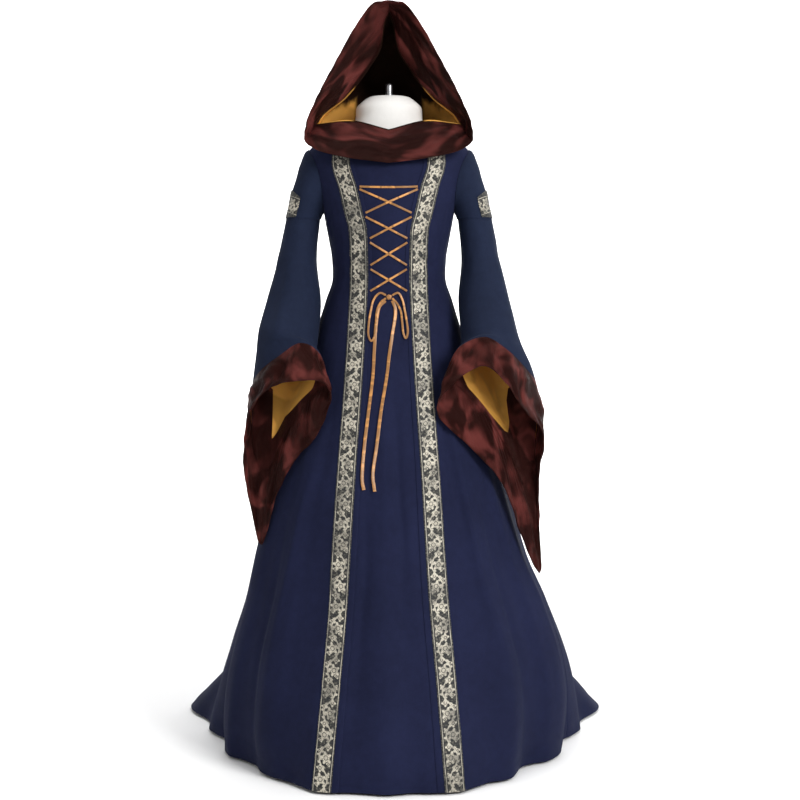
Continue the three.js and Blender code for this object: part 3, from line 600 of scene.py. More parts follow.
def seam_dip(grid, depth):
    """How far the cloth draws in along both side seams."""
    left = lengths(grid, 1) * 1000
    right = left[:, -1:] - left
    near = np.exp(-((left / SEAM_REACH) ** 2)) + np.exp(-((right / SEAM_REACH) ** 2))
    return -depth * near


def body_panel(name, kind, side, count, out, material):
    """One panel of the body with its seams drawn in."""
    wall = cloth_wall()
    plain = panel_grid(kind, side, count, out)
    dip = seam_dip(plain, bpy.context.scene.gown_sizes.seam_dip * 1000)
    normal = grid_normals(plain, False, 1.0)
    middle = plain.mean(axis=(0, 1)) * np.array([1, 1, 0])
    if np.sum(normal * middle) < 0:
        normal = -normal
    outer = plain + normal * dip[..., None]
    inner = outer - normal * wall
    piece = shell(name + "_cloth", outer, inner, False)
    declare_sheet(piece, plain, False)
    return dress(piece, material, "navy_cloth", name)


# Upper sleeve: rings that fan round the underarm, each from its inner to its outer end
UPPER = table(
    ["t", "x_in", "z_in", "x_out", "z_out", "y", "depth"],
    [
        [-1, 95, 1238, 128, 1360, 0, 55], [0, 148, 1213, 184, 1356, 0, 60],
        [1, 152, 1206, 203, 1322, 0, 58], [2, 155, 1200, 220, 1262, -1, 53],
        [3, 157, 1196, 235, 1196, -2, 48],
    ],
)
# Soft pulls of the upper sleeve: angle, place along it, half sizes, turn, height in mm
UPPER_DENTS = [
    [70, 2.1, 26, 0.22, 0.4, 1.6], [100, 1.5, 30, 0.25, -0.3, -1.4], [30, 2.4, 24, 0.2, 0.2, -1.2],
    [150, 2.2, 26, 0.25, -0.4, 1.4], [250, 1.9, 40, 0.3, 0.2, 1.2],
]


def upper(phi, t):
    """Point of the upper sleeve's plain form: angle from the front, and place along it."""
    phi, t = np.broadcast_arrays(np.asarray(phi, float), np.asarray(t, float))
    s = np.sin(phi * DEG)
    share = (1 + s) / 2
    x = mix(UPPER["x_in"](t), UPPER["x_out"](t), share)
    y = UPPER["y"](t) - UPPER["depth"](t) * np.cos(phi * DEG)
    z = mix(UPPER["z_in"](t), UPPER["z_out"](t), share)
    return np.stack([x, y, z], -1)


def on_upper(phi, t, out):
    """Point of the dressed upper sleeve, moved out from it."""
    at = np.minimum(t, 2.9)
    across = upper(phi + HALF_STEP, at) - upper(phi - HALF_STEP, at)
    along = upper(phi, at + 0.05) - upper(phi, at - 0.05)
    shift = -unit(np.cross(across, along))
    crease = dents(phi, t, UPPER_DENTS) * smooth((t - 0.9) / 0.5) * depth_of_creases()
    shift = shift * np.asarray(out + crease)[..., None]
    flat_end = (np.asarray(t) > 2.95)[..., None] * np.array([0, 0, 1])
    return upper(phi, t) + shift * (1 - flat_end)


# Above this height the body's section closes to the neck and no longer meets the sleeve
ARMHOLE_BELOW = 1392
ARMHOLE_MARGIN = 1.6


def outside_body(p, margin):
    """Over zero where a point lies outside the body's section, moved out by a margin."""
    a = BODY["side"](p[..., 2]) + margin
    before = p[..., 1] < 0
    d = np.where(before, BODY["front"](p[..., 2]), BODY["back"](p[..., 2])) + margin
    value = (p[..., 0] / a) ** 2 + (p[..., 1] / d) ** 2 - 1
    return np.where(p[..., 2] > ARMHOLE_BELOW, 1.0, value)


def armhole_at(phi):
    """Place along the upper sleeve where it comes out of the body, found by halving."""
    low = np.full(phi.shape, -1.0)
    high = np.full(phi.shape, 2.2)
    for _ in range(26):
        t = (low + high) / 2
        inside = outside_body(upper(phi, t), ARMHOLE_MARGIN) < 0
        low = np.where(inside, t, low)
        high = np.where(inside, high, t)
    return high


ARM_ANGLES = np.arange(0, 360, 4.0)
# Width of the cut armhole as a share of the sleeve's
ARMHOLE_SHARE = 0.94


def across_x(grid, side):
    """The right side's points, or their mirror image for the left."""
    return grid * np.array([side, 1, 1])


def cut_armhole(piece, side):
    """Cuts the sleeve's hollow out of a side panel with a Boolean modifier."""
    rings = [upper(ARM_ANGLES, np.full(ARM_ANGLES.shape, t)) for t in (-1, -0.5, 0, 0.5, 1)]
    centre = [r.mean(axis=0) for r in rings]
    rings = [c + (r - c) * ARMHOLE_SHARE for r, c in zip(rings, centre)]
    grid = across_x(np.stack(rings), side)
    n = len(ARM_ANGLES)
    faces = tube_faces(len(rings), n)
    faces.append(list(range(n)))
    faces.append([(len(rings) - 1) * n + j for j in reversed(range(n))])
    cutter = add_mesh("armhole_cut", grid.reshape(-1, 3), faces)
    turn_faces_out(cutter)
    only(piece)
    cut = piece.modifiers.new("armhole", "BOOLEAN")
    cut.operation = "DIFFERENCE"
    cut.solver = "EXACT"
    cut.object = cutter
    bpy.ops.object.modifier_apply(modifier=cut.name)
    bpy.data.objects.remove(cutter, do_unlink=True)


# Lower sleeve: flat sections first, then the band's seam and the mouth, as closed loops
LOWER_TOP = table(
    ["t", "x", "y", "z", "half", "depth"],
    [
        [0, 196, -2, 1195.4, 39, 48], [0.9, 208, -12, 1106, 44, 58], [1.8, 214, -38, 1014, 59, 72],
        [2.6, 223, -76, 940, 65, 84],
    ],
)
T_FLARE = 2.6
T_BAND = 4.2
T_MOUTH = 5
BAND_GAP = 0.014
LAP = 0.02
LOWER_T = [0, 0.9, 1.8, T_FLARE, T_BAND, T_MOUTH]
# Points every 30 degrees from the front lip, first round the outside
BAND_LOOP = {
    "left": [
        [190, -178, 915], [236, -168, 888], [282, -135, 853], [305, -88, 815], [312, -52, 745],
        [298, -50, 675], [265, -78, 645], [234, -98, 700], [202, -114, 757], [170, -127, 800],
        [138, -142, 842], [150, -166, 893],
    ],
    "right": [
        [207, -182, 928], [255, -172, 902], [300, -140, 860], [330, -92, 818], [336, -55, 745],
        [322, -52, 665], [296, -78, 612], [262, -98, 680], [222, -114, 748], [180, -127, 800],
        [134, -150, 848], [150, -172, 903],
    ],
}
MOUTH_LOOP = {
    "left": [
        [194, -190, 834], [240, -182, 826], [284, -152, 797], [315, -108, 738], [324, -76, 640],
        [307, -80, 546], [280, -106, 471], [247, -120, 578], [203, -132, 661], [156, -148, 714],
        [124, -160, 798], [146, -180, 832],
    ],
    "right": [
        [202, -195, 866], [250, -186, 834], [295, -158, 772], [343, -112, 712], [334, -80, 610],
        [336, -84, 500], [333, -106, 408], [296, -118, 480], [250, -130, 605], [180, -146, 686],
        [106, -166, 762], [136, -184, 824],
    ],
}
# Where the satin facing starts inside the sleeve, by angle from the front lip
FACING_FROM = 84
FACING_TO = 297
FACING_START = {
    "left": [
        [0, 3.0], [90, 3.2], [120, 3.35], [150, 3.35], [165, 3.4], [172, 3.62], [180, 3.93],
        [210, 3.88], [240, 4.04], [275, 4.13], [300, 3.4], [330, 3.0],
    ],
    "right": [
        [0, 3.0], [90, 3.1], [120, 3.2], [150, 3.35], [165, 3.35], [174, 3.45], [180, 3.65],
        [195, 3.85], [210, 4.0], [240, 4.13], [275, 4.13], [300, 3.4], [330, 3.0],
    ],
}
# Soft folds of the lower sleeve: angle, place along it, half sizes, turn, height in mm
SLEEVE_DENTS = {
    "left": [
        [20, 0.6, 30, 0.22, 0.5, -1.8], [60, 0.9, 34, 0.2, -0.4, 1.8],
        [350, 1.2, 26, 0.35, 0.3, 2.2], [40, 1.7, 16, 0.8, 0.25, -2.6],
        [75, 2.4, 14, 1.0, 0.1, 3.0], [15, 2.8, 12, 0.9, -0.15, 2.2],
        [105, 2.9, 14, 1.1, -0.1, -3.2], [140, 2.2, 22, 0.9, 0.2, 2.6],
        [200, 1.9, 24, 0.8, 0.1, -2.2], [260, 2.3, 22, 0.9, -0.2, 2.4],
        [318, 2.0, 16, 0.8, 0.2, -2.0],
    ],
    "right": [
        [24, 0.5, 32, 0.2, -0.4, 1.6], [70, 0.8, 30, 0.22, 0.4, -1.8],
        [345, 1.1, 26, 0.3, 0.4, 2.0], [48, 1.6, 16, 0.8, -0.2, 2.6],
        [82, 2.3, 14, 1.0, 0.15, -3.0], [20, 2.7, 13, 0.9, 0.2, -2.2],
        [110, 2.7, 15, 1.1, 0.1, 3.2], [150, 2.3, 22, 0.9, -0.2, -2.4],
        [205, 1.8, 24, 0.8, -0.1, 2.2], [262, 2.4, 22, 0.9, 0.2, -2.4],
        [322, 2.1, 16, 0.8, -0.2, 2.0],
    ],
}
# Crumples of the satin cuff band, in the same form
CUFF_DENTS = {
    "left": [
        [8, 4.55, 9, 0.16, 0.5, 2.6], [26, 4.7, 8, 0.2, -0.6, -2.2], [44, 4.5, 10, 0.16, 0.4, 2.8],
        [63, 4.72, 8, 0.18, -0.5, -2.4], [82, 4.5, 10, 0.2, 0.7, 2.6],
        [104, 4.7, 9, 0.18, -0.3, -2.6], [128, 4.55, 10, 0.2, 0.5, 2.4],
        [150, 4.7, 9, 0.18, -0.5, 2.2], [172, 4.5, 8, 0.2, 0.3, -2.4],
        [196, 4.7, 9, 0.18, -0.6, 2.4], [222, 4.55, 10, 0.2, 0.5, -2.4],
        [250, 4.7, 9, 0.18, -0.4, 2.6], [276, 4.5, 9, 0.2, 0.6, -2.4],
        [300, 4.68, 9, 0.18, -0.5, 2.4], [326, 4.52, 9, 0.18, 0.4, -2.2],
        [344, 4.72, 8, 0.16, -0.4, 2.4],
    ],
    "right": [
        [5, 4.7, 8, 0.18, -0.5, 2.4], [22, 4.5, 9, 0.16, 0.6, -2.2], [40, 4.68, 9, 0.2, -0.4, 2.8],
        [58, 4.52, 9, 0.18, 0.5, 2.4], [78, 4.74, 8, 0.16, -0.6, -2.6],
        [98, 4.5, 10, 0.2, 0.4, 2.6], [120, 4.7, 9, 0.18, -0.4, -2.4],
        [143, 4.54, 10, 0.2, 0.6, 2.4], [168, 4.7, 9, 0.18, -0.5, 2.6],
        [190, 4.5, 9, 0.2, 0.4, -2.4], [215, 4.7, 10, 0.18, -0.5, 2.4],
        [242, 4.52, 9, 0.2, 0.6, -2.4], [268, 4.7, 9, 0.18, -0.4, 2.6],
        [294, 4.5, 9, 0.2, 0.5, -2.2], [318, 4.7, 9, 0.18, -0.5, 2.4],
        [342, 4.52, 8, 0.16, 0.4, -2.2],
    ],
}


def sleeve_grid(side_name, ts, angles):
    """Plain rings of the lower sleeve at places along it."""
    tops = []
    for t in LOWER_T[:-2]:
        x = LOWER_TOP["x"](t) + LOWER_TOP["half"](t) * np.sin(angles * DEG)
        y = LOWER_TOP["y"](t) - LOWER_TOP["depth"](t) * np.cos(angles * DEG)
        z = np.full(angles.shape, float(LOWER_TOP["z"](t)))
        tops.append(np.stack([x, y, z], -1))
    rings = tops + [loop(BAND_LOOP[side_name], angles), loop(MOUTH_LOOP[side_name], angles)]
    through = curve(LOWER_T, np.stack(rings))
    return np.stack([through(t) for t in ts])


SLEEVE_ANGLES = np.arange(0, 360, 3.0)
SLEEVE_TS = np.concatenate([np.linspace(0, T_BAND, 85), np.linspace(T_BAND, T_MOUTH, 29)[1:]])
LINING_FROM = 0.45
# Slopes are read over this step along a sleeve or the hood, away from its ends, and at one place
# for all rows that lie close to a seam
T_STEP = 0.05
END_MARGIN = 0.06
AT_SEAM = 0.03


def on_sleeve(side_name, ts, out, crumpled=0.0):
    """Points of the lower sleeve, moved out by a distance and its folds, and its plain form."""
    ts = np.asarray(ts, float)
    plain = sleeve_grid(side_name, ts, SLEEVE_ANGLES)
    inside = np.clip(ts, END_MARGIN, T_MOUTH - END_MARGIN)
    inside = np.where(np.abs(inside - T_BAND) < AT_SEAM, T_BAND, inside)
    along = sleeve_grid(side_name, inside + T_STEP, SLEEVE_ANGLES)
    along = along - sleeve_grid(side_name, inside - T_STEP, SLEEVE_ANGLES)
    across = sleeve_grid(side_name, inside, SLEEVE_ANGLES + 1)
    across = across - sleeve_grid(side_name, inside, SLEEVE_ANGLES - 1)
    normal = -unit(np.cross(across, along))
    t = ts[:, None]
    phi = SLEEVE_ANGLES[None, :]
    lift = wrapped_dents(phi, t, SLEEVE_DENTS[side_name]) * smooth(t / 0.5)
    lift = lift * (1 - 0.6 * smooth((t - 3.4) / 0.8))
    lift = lift + 0.5 * np.sin(phi * DEG * 9 + t * 2.1) * np.sin(t * 3.7) * smooth(t / 0.6)
    if crumpled:
        band = wrapped_dents(phi, t, CUFF_DENTS[side_name])
        fine = 0.7 * np.sin(phi * DEG * 23 + 3 * np.sin(t * 7)) * np.sin(t * 11 + phi * DEG * 5)
        lift = lift + (band + fine) * smooth((t - T_BAND) / 0.14) * crumpled
    shift = normal * ((out + lift * depth_of_creases())[..., None])
    shift[ts == 0, :, 2] = 0
    return plain + shift, plain


def loop_values(rows, phi):
    """Values given at angles, drawn on round the full turn."""
    rows = sorted(rows)
    keys = [r[0] for r in rows] + [rows[0][0] + 360]
    values = [r[1] for r in rows] + [rows[0][1]]
    return np.interp(phi, keys, values)


def wrapped_dents(phi, t, rows):
    """Dents on a surface that closes on itself every 360 degrees."""
    total = np.zeros(np.broadcast(phi, t).shape)
    for row in rows:
        near = turned(phi - row[0])
        total = total + dents(near, t, [[0] + list(row[1:])])
    return total


# Hood: rings from the rolled edge of the face opening back to the neckline, by angle from the
# crown (0) down to the centre front (180)
HOOD_ANGLES = [0, 16, 35, 60, 88, 112, 128, 142, 160, 180]
HOOD_RINGS = {
    "edge": [
        [0, -62, 1684], [31, -64, 1679], [71, -70, 1630], [115, -84, 1549], [158, -102, 1463],
        [184, -106, 1398], [188, -100, 1368], [166, -104, 1346], [92, -120, 1324], [0, -128, 1311],
    ],
    "roll": [
        [0, -40, 1680], [22, -42, 1668], [46, -44, 1609], [84, -52, 1534], [132, -66, 1462],
        [171, -80, 1407], [176, -84, 1380], [152, -98, 1372], [86, -118, 1358], [0, -124, 1346],
    ],
    "band": [
        [0, -18, 1671], [13, -14, 1645], [21, -10, 1592], [50, -14, 1540], [100, -24, 1474],
        [150, -42, 1430], [166, -58, 1402], [138, -72, 1404], [90, -95, 1406], [0, -97, 1385],
    ],
    "crown": [
        [0, 92, 1645], [30, 90, 1638], [66, 83, 1604], [108, 72, 1532], [148, 52, 1455],
        [166, 22, 1414], [162, -6, 1403], [144, -34, 1401], [101, -77, 1400], [0, -95, 1379],
    ],
    "nape": [
        [0, 166, 1545], [33, 164, 1539], [70, 152, 1514], [106, 124, 1466], [128, 78, 1428],
        [132, 34, 1411], [126, 2, 1404], [117, -30, 1402], [98, -69, 1395], [0, -92.5, 1375.5],
    ],
}
NECK_TURNS = [180, 170, 158, 141, 125, 106, 90, 72, 46, 0]
HOOD_T = [0, 0.5, 1, 2, 3, 4]
# Folds of the hood: angle, place, half sizes, turn, height in mm
HOOD_DENTS = [
    [18, 2.2, 10, 0.5, 0.3, 2.0], [-22, 2.3, 10, 0.5, -0.2, 2.2], [52, 2.0, 14, 0.6, 0.5, -2.4],
    [-56, 2.2, 14, 0.6, -0.4, -2.2], [84, 1.9, 12, 0.6, 0.6, 2.4], [-86, 2.0, 12, 0.6, -0.5, 2.6],
    [38, 3.2, 12, 0.4, -0.3, 2.2], [-34, 3.3, 12, 0.4, 0.3, -2.0], [108, 2.6, 10, 0.5, 0.2, -1.6],
    [-110, 2.5, 10, 0.5, -0.3, 1.6],
]
# Crumples of the satin band and cowl: light patches, the diagonal fold and the leaf shape
BAND_DENTS = [
    [14, 0.42, 9, 0.22, 0.4, -2.2], [34, 0.5, 10, 0.2, -0.5, 2.6], [52, 0.36, 9, 0.24, 0.6, -2.4],
    [72, 0.52, 10, 0.2, -0.4, 2.6], [92, 0.4, 9, 0.24, 0.5, -2.4], [110, 0.52, 8, 0.2, -0.5, 2.6],
    [124, 0.36, 7, 0.26, 0.4, -2.6], [137, 0.56, 7, 0.2, 0.6, 3.0], [148, 0.34, 7, 0.2, -0.5, -2.6],
    [157, 0.62, 6, 0.22, 0.8, 3.4], [166, 0.36, 7, 0.2, -0.4, 2.4], [175, 0.62, 7, 0.18, 0.3, -2.4],
    [-14, 0.5, 9, 0.2, -0.4, 2.4], [-33, 0.4, 10, 0.24, 0.5, -2.4], [-54, 0.52, 9, 0.2, -0.6, 2.6],
    [-74, 0.38, 10, 0.24, 0.4, -2.6], [-94, 0.52, 9, 0.2, -0.5, 2.4],
    [-112, 0.4, 8, 0.24, 0.5, -2.4], [-127, 0.56, 7, 0.2, -0.4, 2.8],
    [-140, 0.36, 7, 0.2, 0.6, -2.6], [-150, 0.6, 6, 0.2, -0.7, 3.2], [-160, 0.36, 7, 0.2, 0.4, 2.4],
    [-170, 0.6, 7, 0.18, -0.3, -2.4],
]


def hood_grid(phi, ts):
    """Plain rows of the hood at places from its rolled edge (0) back to the neckline (4)."""
    turn = np.abs(turned(phi))
    side = np.where(turned(phi) < 0, -1.0, 1.0)
    neck_turn = curve(HOOD_ANGLES, NECK_TURNS)(turn)
    neck = body(neck_turn, NECK_TOP)
    dipped = smooth(np.maximum(0, np.cos(neck_turn * DEG)) * 4)
    neck[:, 2] += SEAM + 0.1 + 1.8 * dipped
    rings = []
    for rows in HOOD_RINGS.values():
        columns_of = [curve(HOOD_ANGLES, [p[c] for p in rows])(turn) for c in range(3)]
        rings.append(np.stack(columns_of, -1))
    mirror = np.stack([side, 1 + 0 * side, 1 + 0 * side], -1)
    rings = [r * mirror for r in rings + [neck]]
    through = curve(HOOD_T, np.stack(rings))
    return np.stack([through(t) for t in ts])


def on_hood(phi, ts, out, crumpled=0.0):
    """Points of the hood, moved out by a distance and its folds, and its plain form."""
    ts = np.asarray(ts, float)
    near = np.where(np.abs(ts - 1) < AT_SEAM, 1.0, ts)
    near = np.clip(near, T_STEP, HOOD_T[-1] - T_STEP)
    ridge = turned(np.asarray(phi, float))
    ridge = np.where(np.abs(ridge) < 1, 0.0, np.where(np.abs(ridge) > 179, 180.0, ridge))
    along = hood_grid(ridge, near + T_STEP) - hood_grid(ridge, near - T_STEP)
    across = hood_grid(ridge + 1.5, near) - hood_grid(ridge - 1.5, near)
    normal = unit(np.cross(across, along))
    t = ts[:, None]
    p = turned(phi)[None, :]
    fade = smooth((t - 1.1) / 0.4) * smooth((3.7 - t) / 0.5)
    lift = wrapped_dents(p, t, HOOD_DENTS) * fade
    if crumpled:
        fine = 0.6 * np.sin(p * DEG * 31 + 4 * np.sin(t * 5)) * np.sin(t * 9 + p * DEG * 7)
        band = wrapped_dents(p, t, BAND_DENTS) + fine
        lift = lift + band * smooth((0.95 - t) / 0.2) * crumpled
    plain = hood_grid(phi, ts)
    return plain + normal * ((out + lift * depth_of_creases())[..., None]), plain


# Lacing

EYELETS = [[1260, 64], [1197, 50.5], [1141, 41], [1083, 40], [1026, 40.5]]
# Bow and tails: x and height along each, and how far they stand off the laced panel
BOW_LOOPS = {
    "left": [
        [-6, 1021, 3], [-19, 1026, 4], [-32, 1013, 4], [-39, 988, 4], [-44, 955, 4], [-44, 931, 4],
        [-38, 920, 4], [-31, 929, 4], [-28, 960, 4], [-25, 990, 4], [-16, 1007, 3.4], [-6, 1014, 3],
    ],
    "right": [
        [8, 1021, 3], [21, 1026, 4], [30, 1012, 4], [36, 985, 4], [41, 955, 4], [42, 937, 4],
        [38, 926, 4], [33, 935, 4], [30, 960, 4], [26, 988, 4], [16, 1006, 3.4], [8, 1014, 3],
    ],
}
TAILS = {
    "left": [
        [-7, 1009], [-20, 996], [-27, 960], [-31, 905], [-34, 845], [-44, 759], [-52, 689],
        [-56, 620], [-52.5, 600],
    ],
    "right": [
        [8, 1009], [15, 990], [8, 932], [2, 892], [-4, 841], [-16, 767], [-25, 693], [-33, 631],
        [-29, 597],
    ],
}


def front_y(x, z):
    """Foremost y of the front panels and ribbons at a given x and height."""
    x, z = np.broadcast_arrays(np.asarray(x, float), np.asarray(z, float))
    deg = angle_at_x(x, z, False)
    across = body_at(deg + HALF_STEP, z) - body_at(deg - HALF_STEP, z)
    up = body_at(deg, z + HALF_STEP) - body_at(deg, z - HALF_STEP)
    normal = unit(np.cross(across, up))
    edge = RIBBON["x"](z) - ribbon_half() - RIBBON["edge"](z)
    ribbon = RIBBON["x"](z) - ribbon_half()
    out = np.where(np.abs(x) < edge - 0.5, -SET_BACK, 0.0)
    out = np.where(np.abs(x) > ribbon - 0.5, SEAM + RIBBON_WALL, out)
    p = body_at(deg, z) + normal * (out + body_crease(deg, z))[..., None]
    return p[..., 1]


def before_front(x, z, out, reach):
    """Point off the foremost part of the front that lies within reach of a place on it."""
    steps = np.linspace(-1, 1, 5) * reach
    near = front_y(x + steps[:, None], z + steps[None, :])
    return [x, float(near.min()) - out, z]


def through_points(points, steps):
    """Smooth line through points, closer where they are close (a centripetal spline)."""
    p = np.array(points, float)
    p = np.concatenate([[2 * p[0] - p[1]], p, [2 * p[-1] - p[-2]]])
    line = []
    for i in range(1, len(p) - 2):
        q = p[i - 1 : i + 3]
        gap = np.maximum(np.linalg.norm(np.diff(q, axis=0), axis=1) ** 0.5, 1e-4)
        t0, t1, t2, t3 = np.concatenate([[0], np.cumsum(gap)])
        for t in np.linspace(t1, t2, steps, endpoint=False):
            a1 = (q[0] * (t1 - t) + q[1] * (t - t0)) / (t1 - t0)
            a2 = (q[1] * (t2 - t) + q[2] * (t - t1)) / (t2 - t1)
            a3 = (q[2] * (t3 - t) + q[3] * (t - t2)) / (t3 - t2)
            b1 = (a1 * (t2 - t) + a2 * (t - t0)) / (t2 - t0)
            b2 = (a2 * (t3 - t) + a3 * (t - t1)) / (t3 - t1)
            line.append((b1 * (t2 - t) + b2 * (t - t1)) / (t2 - t1))
    line.append(p[-2])
    return np.array(line)


def flat_cord(name, line, width, thickness, roll):
    """Flat ribbon along a line, its broad side towards the front, turned by a roll in degrees."""
    tangent = unit(np.gradient(line, axis=0))
    front = np.array([0.0, -1.0, 0.0])
    broad = unit(np.cross(tangent, front))
    for i in range(1, len(broad)):
        if np.dot(broad[i], broad[i - 1]) < 0:
            broad[i] = -broad[i]
    face = unit(np.cross(broad, tangent))
    angle = (roll * DEG)[:, None]
    turned_broad = broad * np.cos(angle) + face * np.sin(angle)
    turned_face = face * np.cos(angle) - broad * np.sin(angle)
    sides = 12
    rings = []
    for k in range(sides):
        a = 2 * math.pi * (k + 0.5) / sides
        c = math.copysign(abs(math.cos(a)) ** 0.6, math.cos(a)) * width / 2
        s = math.copysign(abs(math.sin(a)) ** 0.8, math.sin(a)) * thickness / 2
        rings.append(line + turned_broad * c + turned_face * s)
    grid = np.stack(rings, 1)
    rows = len(line)
    points = np.concatenate([grid.reshape(-1, 3), line[:1], line[-1:]])
    run = np.concatenate([[0], np.cumsum(np.linalg.norm(np.diff(line, axis=0), axis=1))]) / 1000
    faces = []
    uvs = []
    for i in range(rows - 1):
        for k in range(sides):
            n = (k + 1) % sides
            faces.append([i * sides + k, i * sides + n, (i + 1) * sides + n, (i + 1) * sides + k])
            u0 = k / sides * width / 500
            u1 = (k + 1) / sides * width / 500
            uvs += [(u0, run[i]), (u1, run[i]), (u1, run[i + 1]), (u0, run[i + 1])]
    first = rows * sides
    for k in range(sides):
        n = (k + 1) % sides
        faces.append([first, n, k])
        uvs += [(0, 0)] * 3
        faces.append([first + 1, (rows - 1) * sides + k, (rows - 1) * sides + n])
        uvs += [(0, run[-1])] * 3
    piece = add_mesh(name, points, faces, uvs)
    turn_faces_out(piece)
    smooth_by_angle(piece, SOFT_CORD)
    return piece


def rung(name, start, end, over, material):
    """One run of the lace from an eyelet to the next across the front."""
    width = bpy.context.scene.gown_sizes.lace_width * 1000
    level = start[1] == end[1]
    reach = width * (0.6 if level else 1.0)
    stands = LEVEL_LACE_STANDS if level else LACE_STANDS
    points = []
    for w in np.linspace(0, 1, 9):
        x = mix(start[0], end[0], w)
        z = mix(start[1], end[1], w) - (2.0 * math.sin(math.pi * w) if level else 0)
        lift = over * math.exp(-((x / 11) ** 2))
        points.append(before_front(x, z, stands + lift, reach))
    line = through_points(points, 5)
    twist = 7 * np.sin(np.linspace(0, 7, len(line)))
    piece = flat_cord(name + "_ribbon", line, width, LACE_THICKNESS, twist)
    return dress(piece, material, "lace_cord", name)


def hanging(name, rows, width, material, twist):
    """A bow loop or a tail, off the front by a distance at each of its points."""
    points = []
    for row in rows:
        out = row[2] if len(row) > 2 else LACE_STANDS
        points.append(before_front(row[0], row[1], out, width * 0.8))
    line = through_points(points, 7)
    roll = twist * np.sin(np.linspace(0, 9, len(line)))
    piece = flat_cord(name + "_ribbon", line, width, LACE_THICKNESS, roll)
    return dress(piece, material, "lace_cord", name)


# Dress form: neck, then the gown's own sections drawn in, then waist and hips
FORM_NECK = [
    [1475, 40, 35, 35], [1474.6, 47, 41, 41], [1473, 50.5, 44.5, 44.5], [1466, 60, 52, 51],
    [1449, 75, 62, 60], [1430, 76, 64, 61],
]
FORM_LOW = [
    [1185, 134, 121, 93], [1150, 130, 117, 88], [1106, 123, 106, 82], [1066, 121, 99, 79],
    [1014, 130, 101, 90], [960, 145, 108, 104], [900, 153, 114, 112], [862, 150, 112, 109],
    [FORM_BOTTOM, 142, 105, 102],
]
FORM_LEVELS = [1408, 1385, 1358, 1334, 1300, 1258, 1213]


# The form's ease under the gown: more at the neck and in front, less along the shoulders, where
# the cloth rests on it
NECK_FROM = 1400
NECK_EASE = 9
FRONT_EASE = 2.5
SHOULDER_FROM = 1325
SHOULDER_GROWS_IN = 25
SHOULDER_HALF_ANGLE = 7


def form_ease(deg, level):
    """How far the form's surface lies inside the gown's, in millimetres."""
    in_neck = level > NECK_FROM
    ridge = np.exp(-(((np.abs(turned(deg)) - SIDE_SEAM) / SHOULDER_HALF_ANGLE) ** 2))
    top = float(smooth((level - SHOULDER_FROM) / SHOULDER_GROWS_IN)) * (0 if in_neck else 1)
    front = FRONT_EASE * np.maximum(0, np.cos(deg * DEG)) ** 2
    neck = NECK_EASE if in_neck else 0
    return FORM_EASE + neck + front - (FORM_EASE - FORM_TOUCH) * ridge * top


def ellipse_ring(row, deg):
    z, half, front, back = row
    c = np.cos(deg * DEG)
    y = -np.where(c > 0, front, back) * c
    return np.stack([half * np.sin(deg * DEG), y, np.full(deg.shape, float(z))], -1)


def form_rings():
    """Rings of the dress form, from the neck cap's top down to the hips."""
    deg = np.arange(0, 360, 3.75)
    rings = [ellipse_ring(row, deg) for row in FORM_NECK]
    for level in FORM_LEVELS:
        out = -form_ease(deg, level)
        rings.append(body(deg, level) + body_normal(deg, level) * out[:, None])
    rings += [ellipse_ring(row, deg) for row in FORM_LOW]
    stack = np.stack(rings)
    through = curve(range(len(rings)), stack)
    places = np.concatenate([np.arange(0, 3, 0.5), np.arange(3, len(rings) - 1, 0.2)])
    places = np.append(places, len(rings) - 1)
    return np.stack([through(t) for t in places])


def form_body(material):
    """Closed body of the dress form with its neck cap."""
    grid = form_rings()
    rows, cols = grid.shape[:2]
    v = lengths(grid, 0)
    u = lengths(grid, 1, True)
    points = [grid.reshape(-1, 3), grid[0].mean(0, keepdims=True), grid[-1].mean(0, keepdims=True)]
    faces = tube_faces(rows, cols)
    uvs = []
    for i in range(rows - 1):
        for j in range(cols):
            k = (j + 1) % cols
            uvs += [(u[i, j], v[i, j]), (u[i + 1, j], v[i + 1, j])]
            uvs += [(u[i + 1, j + 1], v[i + 1, k]), (u[i, j + 1], v[i, k])]
    for j in range(cols):
        k = (j + 1) % cols
        faces.append([rows * cols, j, k])
        faces.append([rows * cols + 1, (rows - 1) * cols + k, (rows - 1) * cols + j])
        uvs += [tuple(grid[0, n, :2] / 1000) for n in (j, j, k)]
        uvs += [tuple(grid[-1, n, :2] / 1000) for n in (j, k, j)]
    piece = add_mesh("dress_form_body", np.concatenate(points), faces, uvs)
    turn_faces_out(piece)
    smooth_by_angle(piece, SOFT_CLOTH)
    return dress(piece, material, "form_cover", "form_torso")


def select_parts(piece, kind, wanted):
    """In edit mode, selects the edges or faces that a test picks and nothing else."""
    mesh = bmesh.from_edit_mesh(piece.data)
    for part in (mesh.verts, mesh.edges, mesh.faces):
        for item in part:
            item.select = False
    for item in getattr(mesh, kind):
        if wanted(item):
            item.select = True
    mesh.select_flush_mode()
    bmesh.update_edit_mesh(piece.data)


